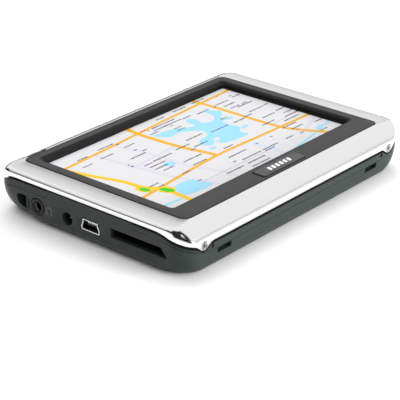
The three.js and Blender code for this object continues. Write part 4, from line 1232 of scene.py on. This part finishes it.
def dashes(x, y, length):
    """A row of short upright strokes, like print too small to read."""
    strokes = []
    at = 0.0
    while at < length:
        width = random.uniform(0.25, 0.6)
        rise = random.uniform(0.3, 0.48)
        left, right, low, high = x + at, x + at + width, y - rise, y + rise
        strokes.append([(left, low), (right, low), (right, high), (left, high)])
        at += width + random.uniform(0.1, 0.22)
    return strokes


GREY_LABELS = [
    (-27, 26.6, 7.5), (-38, 25.6, 4.5), (-31.5, 20.6, 6), (-19, 21.2, 5), (-25, 12.6, 7.5),
    (-21.5, 5.3, 9), (-26.5, 2.6, 8), (-26.5, 0.2, 6), (-15, -3, 9), (-15, -7.2, 7),
    (-2, -12.4, 9.5), (-0.5, -17.2, 10.5), (-13, -20.6, 9), (-1.5, -20.6, 9.5),
    (-2.5, -23.4, 9.5), (11, -17.2, 8), (24, -17.2, 4.5), (0, 8.7, 8.5), (-9, 6, 7),
    (-2.4, 2.8, 7), (3, -6.1, 5), (23.5, 6.4, 6.5), (32.2, 22.4, 7.5), (33.5, 19.2, 6),
    (35.5, 8.7, 8.5), (34.2, 1.3, 7), (28.5, -3.1, 7), (40.5, -4.2, 7.5), (37, -6.6, 8.5),
    (32.5, -13.4, 6), (43.5, -15.5, 4.5), (7, 29.6, 4.5), (17.5, 30.2, 6.5), (28, 30.4, 7),
    (36.5, 15, 8), (5, 23.4, 9), (43, 2, 5),
]  # fmt: skip
VIOLET_LABELS = [
    (-41, 20, 4), (-29.8, 9.6, 1), (-29.8, 8, 1), (-26.4, 5, 4), (-25, -2.5, 5.5),
    (-19, 16.8, 1.6), (-4.5, 22, 4.5), (14, 23, 4.5), (11.5, 6.9, 9), (-24, -17, 1.6),
    (-4, -16, 1.2), (13.2, -12, 1.4), (21.8, -12, 1.2), (11, -18.4, 4.5), (34, 16.2, 5),
    (44.6, 9, 2), (43, -1.6, 5), (-23, -9.2, 4),
]  # fmt: skip
BLUE_LABELS = [
    (0, 25.3, 12.5), (-1, 23.4, 5.5), (-17, 14.3, 2), (-38, -7.8, 4.5), (-36, -10.2, 2.4),
    (-5.5, 1.8, 2.2), (21.5, 22, 6.5), (30.5, 7, 4.5), (31, -10.3, 8), (31.5, -18, 2),
    (40.5, 16.2, 2.4), (43, 23, 4), (-15, 32, 2), (-19.4, 24.9, 1.6),
]  # fmt: skip
OLIVE_LABELS = [
    (5, 19, 3.5), (4.5, 17, 4), (23, 12, 3.5), (38.5, -22, 3.5), (-2.6, 25.2, 1), (6.4, 21.9, 1),
    (30.6, 21.7, 1), (30.6, 7, 1), (43.2, 24.6, 1),
]  # fmt: skip
RED_LABELS = [(-5, 26.2, 2), (33.6, 27.8, 1), (39, 28, 1), (33.6, -15, 0.8)]


def dotted_line(start, end):
    pitch = 0.9
    a, b = Vector(start), Vector(end)
    count = int((b - a).length / pitch)
    return [blob(*a.lerp(b, i / count), 0.42, 0.42, 0, 6) for i in range(count + 1)]


LAND, LANE, WATER, SHALLOW, CASING, ROAD, HIGHWAY, PARK, GREY, VIOLET, BLUE, OLIVE, RED = range(13)
GLOW = 0.2
MAP_MATERIALS = [
    lit_colour("map_land", colour(227, 227, 230), GLOW, 0.02),
    lit_colour("map_lane", colour(220, 217, 228), GLOW, 0.02),
    lit_colour("map_water", colour(160, 222, 246), GLOW),
    lit_colour("map_shallow", colour(205, 228, 246), GLOW),
    lit_colour("map_casing", colour(232, 160, 0), GLOW),
    lit_colour("map_road", colour(240, 180, 0), GLOW),
    lit_colour("map_highway", colour(250, 202, 0), GLOW),
    lit_colour("map_park", colour(56, 206, 2), GLOW),
    lit_colour("map_print_grey", colour(66, 66, 70), GLOW),
    lit_colour("map_print_violet", colour(122, 58, 148), GLOW),
    lit_colour("map_print_blue", colour(26, 32, 138), GLOW),
    lit_colour("map_print_olive", colour(112, 118, 6), GLOW),
    lit_colour("map_print_red", colour(222, 84, 50), GLOW),
]
VIEW_X = 47.9
VIEW_Y = (SCREEN_Y - 29.2, SCREEN_Y + 29.2)


def anticlockwise(outline):
    following = outline[1:] + outline[:1]
    doubled_area = sum(a[0] * b[1] - b[0] * a[1] for a, b in zip(outline, following))
    return outline if doubled_area > 0 else outline[::-1]


def map_regions():
    """Outlines and their colours, the later ones on top."""
    regions = [(ribbon(lane, 1.7), LANE) for lane in LANES]
    regions += [(shore(LAKE), WATER), (LAKE_ISLAND, LAND), (shore(SOUTH_LAKE), WATER)]
    regions += [(shore(POND), WATER), (ribbon(RIVER, 0.9), WATER), (ribbon(BROOK, 1.3), WATER)]
    regions += [(pond, WATER) for pond in PONDS]
    regions += [(ribbon([(13.9, -9), (13.9, -22)], 1.5), SHALLOW)]
    roads = [(HIGH_ROAD, 1.35), (LOW_ROAD, 1.4), (WEST_AVENUE, 2.0), (EAST_AVENUE, 1.8)]
    regions += [(ribbon(line, width), CASING) for line, width in roads]
    regions += [(ribbon(line, width - 0.4), ROAD) for line, width in roads]
    regions += [(ribbon(RING_ROAD, 2.1), HIGHWAY)]
    regions += [(outline, HIGHWAY) for outline in JUNCTIONS]
    regions += [(outline, PARK) for outline in PARKS]
    dots = dotted_line((-22.6, -18.6), (15.3, -18.6)) + dotted_line((32.6, -5.2), (47.4, -4.2))
    regions += [(dot, BLUE) for dot in dots]
    for labels, tint in (
        (GREY_LABELS, GREY),
        (VIOLET_LABELS, VIOLET),
        (BLUE_LABELS, BLUE),
        (OLIVE_LABELS, OLIVE),
        (RED_LABELS, RED),
    ):
        for label in labels:
            regions += [(stroke, tint) for stroke in dashes(*label)]
    return regions


def make_screen():
    """The touch panel's plate; its top face is divided into the regions of the map."""
    border = rounded_rectangle(
        0, SCREEN_Y, 2 * TOUCH_HIGH.x, TOUCH_HIGH.y - TOUCH_LOW.y, 1, 4
    )
    view = [(-VIEW_X, VIEW_Y[0]), (VIEW_X, VIEW_Y[0]), (VIEW_X, VIEW_Y[1]), (-VIEW_X, VIEW_Y[1])]
    outlines = [border, view]
    tints = [None, LAND]
    for outline, tint in map_regions():
        outlines.append(outline)
        tints.append(tint)
    coordinates, faces = [], []
    for outline in outlines:
        base = len(coordinates)
        coordinates += [Vector(p) for p in anticlockwise(outline)]
        faces.append([base + i for i in range(len(outline))])
    points, _, flat, _, _, owners = delaunay_2d_cdt(coordinates, [], faces, 1, 1e-4, True)
    top = TOUCH_HIGH.z
    bottom = TOUCH_LOW.z
    vertices = [(p.x, p.y, top) for p in points]
    kept, indices = [], []
    for face, owner in zip(flat, owners):
        if 0 not in owner:
            continue
        on_view = 1 in owner
        kept.append(face)
        indices.append(tints[max(owner)] if on_view else BORDER)
    shift = len(vertices)
    vertices += [(a, b, bottom) for a, b in border]
    plate = new_object("map_screen", vertices, kept, [*MAP_MATERIALS, screen_edge], indices)
    close_plate(plate, shift, len(border))
    return finish_piece(plate, ["touch_panel"])


BORDER = len(MAP_MATERIALS)
screen_edge = moulded("screen_edge", colour(26, 28, 29), 0.35, 0.2, 0.003)


def close_plate(obj, first_low, count):
    """Adds the side walls and the underside below the rim of a flat top."""
    bm = bmesh.new()
    bm.from_mesh(obj.data)
    bm.verts.ensure_lookup_table()
    low = bm.verts[first_low : first_low + count]
    bm.faces.new(list(reversed(low))).material_index = BORDER
    level = (TOUCH_HIGH.z - 0.1) * MM
    open_edges = [e for e in bm.edges if e.is_boundary]
    rim = [e for e in open_edges if all(v.co.z > level for v in e.verts)]
    under = [e for e in open_edges if e not in rim]
    made = bmesh.ops.bridge_loops(bm, edges=rim + under)
    for face in made["faces"]:
        face.material_index = BORDER
    bmesh.ops.recalc_face_normals(bm, faces=bm.faces)
    bm.to_mesh(obj.data)
    bm.free()


make_screen()


# ------------------------------------------------------------------ sockets
def make_usb_shell():
    """Folded sheet shell, open at the front, with softened edges."""
    front, back = USB_LOW.x, USB_HIGH.x
    sheet = 0.4
    loops = [
        along_x(usb_outline(0), back),
        along_x(usb_outline(0), front + 0.15),
        along_x(usb_outline(-0.05), front + 0.04),
        along_x(usb_outline(-0.15), front),
        along_x(usb_outline(0.1 - sheet), front + 0.02),
        along_x(usb_outline(-sheet), front + 0.2),
        along_x(usb_outline(-sheet), back - 0.6),
    ]
    # The shell's inner faces take the dark nickel, as painted shade.
    bands = [0, 0, 0, 0, 0, 1]
    shell = tidy_mesh(stack("mini_usb_shell", loops, [shell_nickel, nickel_painted_shade], False, bands))
    return finish_piece(shell, ["usb_shell"])


def make_usb_tongue():
    """Moulded tongue with five plated contacts along its upper edge."""
    low, high = TONGUE_LOW, TONGUE_HIGH
    rise = (low.z + high.z) / 2 + 0.35
    depths = (RIM - rise - 0.5, RIM - rise + 0.6)
    y = (USB_CENTRE.y - 2.3, USB_CENTRE.y + 2.3)
    tongue = block("mini_usb_tongue", (low.x, high.x), y, depths, [socket_plastic])
    bevel(tongue, 0.15)
    heel = [
        along_x(usb_outline(-0.62), high.x - 1.8),
        along_x(usb_outline(-0.62), high.x),
    ]
    weld(tongue, [tidy_mesh(stack("heel", heel))])
    tidy_mesh(tongue)
    finish_piece(tongue, ["usb_tongue"])
    top = depths[0]
    for i in range(5):
        y = USB_CENTRE.y + (i - 2) * 0.8
        contact = block(
            f"usb_contact_{i + 1}",
            (low.x - 0.02, high.x - 1.9),
            (y - 0.2, y + 0.2),
            (top - 0.1, top + 0.3),
            [shell_nickel],
        )
        finish_piece(tidy_mesh(bevel(contact, 0.04, 2)))


def make_headphone_jack():
    """Round nose with a stepped mouth on a moulded body."""
    nose, back = JACK_LOW.x, JACK_HIGH.x
    seat = back - 11.4
    body = block(
        "headphone_socket",
        (seat, back),
        (HEADPHONE_Y - 3.1, HEADPHONE_Y + 2.3),
        (HEADPHONE_DEPTH - 2.4, RIM - JACK_LOW.z - 0.15),
        [socket_plastic],
    )
    origin = (0, HEADPHONE_Y, RIM - HEADPHONE_DEPTH)
    barrel = [(2.9, seat + 0.1), (2.9, nose + 0.35), (2.75, nose + 0.1), (2.5, nose)]
    weld(body, [turned("barrel", "x", origin, barrel, 56)])
    bore = [
        (2.45, nose - 1),
        (2.3, nose + 0.05),
        (2.22, nose + 0.3),
        (2.05, nose + 0.34),
        (1.8, nose + 0.7),
        (1.8, seat + 10.4),
    ]
    carve(body, [turned("bore", "x", origin, bore, 48)])
    tidy_mesh(body, 28)
    finish_piece(body, ["headphone_jack"])
    liner = [(1.76, 1.1), (1.62, 0.95), (1.42, 1.15), (1.42, 3), (1.76, 3)]
    ring_loops = []
    for radius, way in liner:
        outline = circle(HEADPHONE_Y, RIM - HEADPHONE_DEPTH, radius)
        ring_loops.append(along_x(outline, nose + way))
    # The sleeve inside the bore takes the dark nickel, as painted shade.
    ring = tidy_mesh(stack("headphone_sleeve", ring_loops, [nickel_painted_shade], ring=True))
    return finish_piece(ring)


ARCH_RADIUS = 1.15


def make_headphone_icon():
    """Small raised arch with two ear pads beside the headphone socket."""
    centre_y, base_z = HEADPHONE_Y - 5.6, RIM - HEADPHONE_DEPTH - 1.1
    line = [Vector((centre_y - ARCH_RADIUS, base_z))]
    for i in range(13):
        angle = math.pi * (1 - i / 12)
        top = base_z + 1.2 + ARCH_RADIUS * math.sin(angle)
        line.append(Vector((centre_y + ARCH_RADIUS * math.cos(angle), top)))
    line.append(Vector((centre_y + ARCH_RADIUS, base_z)))
    stroke = 0.22
    loops = []
    for i, here in enumerate(line):
        ahead = line[min(i + 1, len(line) - 1)] - line[max(i - 1, 0)]
        side = Vector((-ahead.y, ahead.x)).normalized() * stroke
        a, b = here + side, here - side
        low, high = PORT_FACE - 0.07, PORT_FACE + 0.1
        loops.append([(low, *a), (high, *a), (high, *b), (low, *b)])
    arch = stack("headphone_icon", loops, [icon_grey])
    pads = []
    for side in (-1, 1):
        outline = rounded_rectangle(centre_y + side * 1.0, base_z + 0.15, 0.62, 1.1, 0.28)
        ends = [along_x(outline, PORT_FACE + way) for way in (-0.09, 0.1)]
        pads.append(tidy_mesh(stack("pad", ends)))
    tidy_mesh(arch)
    weld(arch, pads)
    tidy_mesh(arch)
    return finish_piece(arch)


def make_power_pin():
    """Centre pin with a rounded tip."""
    radius = (POWER_HIGH.y - POWER_LOW.y) / 2
    tip = [(0.02, POWER_LOW.x)]
    for k in range(1, 7):
        angle = k / 6 * math.pi / 2
        tip.append((radius * math.sin(angle), POWER_LOW.x + radius * (1 - math.cos(angle))))
    # The pin takes the dark nickel, as painted shade deep in the socket.
    pin = turned(
        "power_pin", "x", (0, POWER_Y, POWER_Z), [*tip, (radius, POWER_HIGH.x)], 32, [nickel_painted_shade]
    )
    return finish_piece(pin, ["power_jack_pin"])


make_usb_shell()
make_usb_tongue()
make_headphone_jack()
make_headphone_icon()
make_power_pin()


# ------------------------------------------------------------------ power button
def make_power_button():
    """Curved key that follows the front frame's long side, with a leg to the switch below."""
    reach, drop, start, sink, key = 6, 5.8, 0.2, 0.35, 1.7

    def curve(inset, angle):
        y = HALF_Y - reach + (reach - inset) * math.sin(angle)
        return y, RIM - start - drop + (drop - inset) * math.cos(angle)

    steps = 24
    first, last = 0.13, 1.42
    angles = [mix(first, last, k / steps) for k in range(steps + 1)]
    outline = [curve(sink, a) for a in angles] + [curve(sink + key, a) for a in reversed(angles)]
    ends = [along_x(outline, x) for x in (BUTTON_LOW.x, BUTTON_HIGH.x)]
    cap = tidy_mesh(stack("power_key", ends, [key_plastic]))
    bevel(cap, 0.22, 4)
    ridge = [curve(sink - 0.22, mix(0.75, 1.0, k / 6)) for k in range(7)]
    ridge += [curve(sink + 0.5, mix(0.75, 1.0, k / 6)) for k in range(6, -1, -1)]
    middle = BUTTON_HIGH.x - 2.1
    nib = tidy_mesh(stack("nib", [along_x(ridge, middle - 1.5), along_x(ridge, middle + 1.5)]))
    leg = block("leg", LEG_X, (38, 39.2), (1.4, RIM - BUTTON_LOW.z))
    weld(cap, [bevel(nib, 0.12, 3), leg])
    tidy_mesh(cap, 30)
    return finish_piece(cap, ["power_button"], "power_key")


LEG_X = (-46.5, -43.5)
make_power_button()


# ------------------------------------------------------------------ screws
def cross_cutter(name, direction, origin, size, depth):
    """Tapered cross recess whose mouth is at the origin and which goes down along a direction."""
    across = Vector((1, 0, 0))
    other = direction.cross(across)
    cutters = []
    for a, b in ((across, other), (other, across)):
        loops = []
        for reach, way, half in ((size, -0.2, 0.2), (size, 0, 0.2), (size * 0.45, depth, 0.13)):
            centre = Vector(origin) + direction * way
            corners = [centre + a * (sa * reach) + b * (sb * half) for sa, sb in QUADRANTS]
            loops.append(corners)
        cutters.append(tidy_mesh(stack(name, loops)))
    return cutters


def make_ear_screw(index):
    low, high = box_mm(f"ear_screw_{index}")
    centre = (low + high) / 2
    sy = 1 if centre.y > 0 else -1
    face = high.y if sy > 0 else -low.y
    profile = [(1.05, 0), (1.24, 0.06), (1.3, 0.2), (0.65, 1), (0.65, 3.4)]
    points = [(radius, sy * (face - way)) for radius, way in profile]
    origin = (centre.x, 0, centre.z)
    screw = turned(f"side_screw_{index}", "y", origin, points, 36, [screw_metal])
    mouth = (centre.x, sy * face, centre.z)
    carve(screw, cross_cutter("cross", Vector((0, -sy, 0)), mouth, 0.8, 0.6))
    tidy_mesh(screw, 28)
    return finish_piece(screw, [f"ear_screw_{index}"])


def make_rear_screw(index):
    low, high = REAR_SCREWS[index - 1]
    place = REAR_SCREW_PLACES[index - 1]
    profile = [
        (1.2, low.z + 0.02),
        (1.65, low.z + 0.12),
        (1.95, low.z + 0.45),
        (2.0, low.z + 1.4),
        (0.95, low.z + 1.42),
        (0.95, high.z - 0.4),
        (0.6, high.z),
    ]
    screw = turned(f"back_screw_{index}", "z", (*place, 0), profile, 40, [screw_metal])
    mouth = (*place, low.z)
    carve(screw, cross_cutter("cross", Vector((0, 0, 1)), mouth, 1.15, 0.9))
    tidy_mesh(screw, 28)
    return finish_piece(screw, [f"rear_screw_{index}"])


for number in range(1, 5):
    make_ear_screw(number)
    make_rear_screw(number)


# ------------------------------------------------------------------ floor, lights and camera
def make_floor():
    n = Nodes("studio_floor")
    tone = n.noise(n.position, 3, 2)
    material = n.surface(
        Base_Color=n.blend(tone, (0.86, 0.86, 0.86, 1), (0.88, 0.88, 0.88, 1)),
        Roughness=n.ranged(tone, 0.3, 0.7, 0.75, 0.85),
    )
    half = 3000
    corners = [(-half, -half, 0), (half, -half, 0), (half, half, 0), (-half, half, 0)]
    floor = new_object("studio_floor", corners, [(0, 1, 2, 3)], [material])


def aim(obj, target):
    direction = Vector(target) - obj.location
    obj.rotation_mode = "QUATERNION"
    obj.rotation_quaternion = direction.to_track_quat("-Z", "Y")


def soft_box(name, place, target, width, height, power):
    data = bpy.data.lights.new(name, "AREA")
    data.shape = "RECTANGLE"
    data.size, data.size_y = width, height
    data.energy = power
    lamp = bpy.data.objects.new(name, data)
    lamp.location = place
    bpy.context.scene.collection.objects.link(lamp)
    aim(lamp, target)
    lamp.visible_glossy = False


def make_world(horizon, overhead, side, side_direction, dark_directions):
    """A soft surround of light: dark at the horizon, bright above and beside."""
    world = bpy.data.worlds.new("studio")
    world.use_nodes = True
    tree = world.node_tree
    background = tree.nodes["Background"]
    background.inputs["Color"].default_value = (1, 1, 1, 1)
    direction = tree.nodes.new("ShaderNodeTexCoord").outputs["Generated"]

    def towards(axis, start, end, low, high):
        dot = tree.nodes.new("ShaderNodeVectorMath")
        dot.operation = "DOT_PRODUCT"
        dot.inputs[1].default_value = Vector(axis).normalized()
        tree.links.new(direction, dot.inputs[0])
        ramp = tree.nodes.new("ShaderNodeMapRange")
        ramp.interpolation_type = "SMOOTHSTEP"
        values = {"From Min": start, "From Max": end, "To Min": low, "To Max": high}
        for key, value in values.items():
            ramp.inputs[key].default_value = value
        tree.links.new(dot.outputs["Value"], ramp.inputs["Value"])
        return ramp.outputs["Result"]

    def combined(operation, a, b):
        node = tree.nodes.new("ShaderNodeMath")
        node.operation = operation
        tree.links.new(a, node.inputs[0])
        tree.links.new(b, node.inputs[1])
        return node.outputs[0]

    above = towards((0, 0, 1), 0.08, 0.36, horizon, overhead)
    beside = towards(side_direction, 0.25, 0.6, 0, side)
    strength = combined("MAXIMUM", above, beside)
    for axis, start, end in dark_directions:
        strength = combined("MULTIPLY", strength, towards(axis, start, end, 1, 0.03))
    tree.links.new(strength, background.inputs["Strength"])
    bpy.context.scene.world = world


def reflection_card(name, vertices, faces, tone):
    """A sheet that is seen only in reflections."""
    card = new_object(name, vertices, faces, [moulded(name, colour(*tone), 0.9)])
    card.visible_camera = False
    card.visible_diffuse = False
    card.visible_shadow = False


def make_corner_card():
    """A dark dome round the near corner, with a slit that lets a bright streak through."""
    centre, radius, step = Vector((-56, -38, 12)), 32, 4
    slit_azimuths, slit_heights = (236, 250), (2, 40)
    vertices, faces = [], []
    for azimuth in range(178, 270, step):
        for height in range(-20, 70, step):
            beside = slit_azimuths[0] < azimuth < slit_azimuths[1]
            if beside and slit_heights[0] < height < slit_heights[1]:
                continue
            faces.append([len(vertices) + k for k in range(4)])
            for a, h in ((0, 0), (step, 0), (step, step), (0, step)):
                turn, rise = math.radians(azimuth + a), math.radians(height + h)
                level = math.cos(rise)
                along = Vector((math.cos(turn) * level, math.sin(turn) * level, math.sin(rise)))
                vertices.append(centre + radius * along)
    reflection_card("corner_card", vertices, faces, (12, 12, 12))


def make_side_card():
    """A grey sheet on the floor beyond the long side, for the lower edge of the silver."""
    left, near, far = -40, -72, 2000
    corners = [(left, near), (left, -far), (far, -far), (far, near)]
    vertices = [(x, y, 0.3) for x, y in corners]
    reflection_card("side_card", vertices, [(0, 1, 2, 3)], (176, 176, 176))


CAMERA_PLACE = (-0.39192, -0.33040, 0.23462)
CAMERA_TARGET = (-0.03896, -0.03064, 0.0178)
CAMERA_LENS = 142.5


def make_camera():
    data = bpy.data.cameras.new("camera")
    data.lens = CAMERA_LENS
    data.sensor_width = 36
    data.clip_start = 0.01
    camera = bpy.data.objects.new("camera", data)
    camera.location = CAMERA_PLACE
    bpy.context.scene.collection.objects.link(camera)
    aim(camera, CAMERA_TARGET)
    bpy.context.scene.camera = camera


# Each has a direction, and the cosines from it at which the dark starts and is complete.
DARK_DIRECTIONS = [((-0.35, 0.9, 0.22), 0.88, 0.95), ((-1, 0.25, 0.3), 0.86, 0.94)]
make_floor()
make_world(0.04, 0.96, 0.95, (0.75, -0.66, 0.1), DARK_DIRECTIONS)
soft_box("overhead", (0.22, 0.6, 1.05), (0, 0, 0), 1.2, 1.2, 10.6)
soft_box("corner_fill", (-0.16, -0.30, 0.10), (-0.05, -0.04, 0.01), 0.16, 0.16, 0.14)
soft_box("side_fill", (0.3, -0.7, 0.13), (0, -0.04, 0.01), 0.5, 0.2, 7.4)
make_corner_card()
make_side_card()
make_camera()
bpy.context.scene.view_settings.view_transform = "Standard"
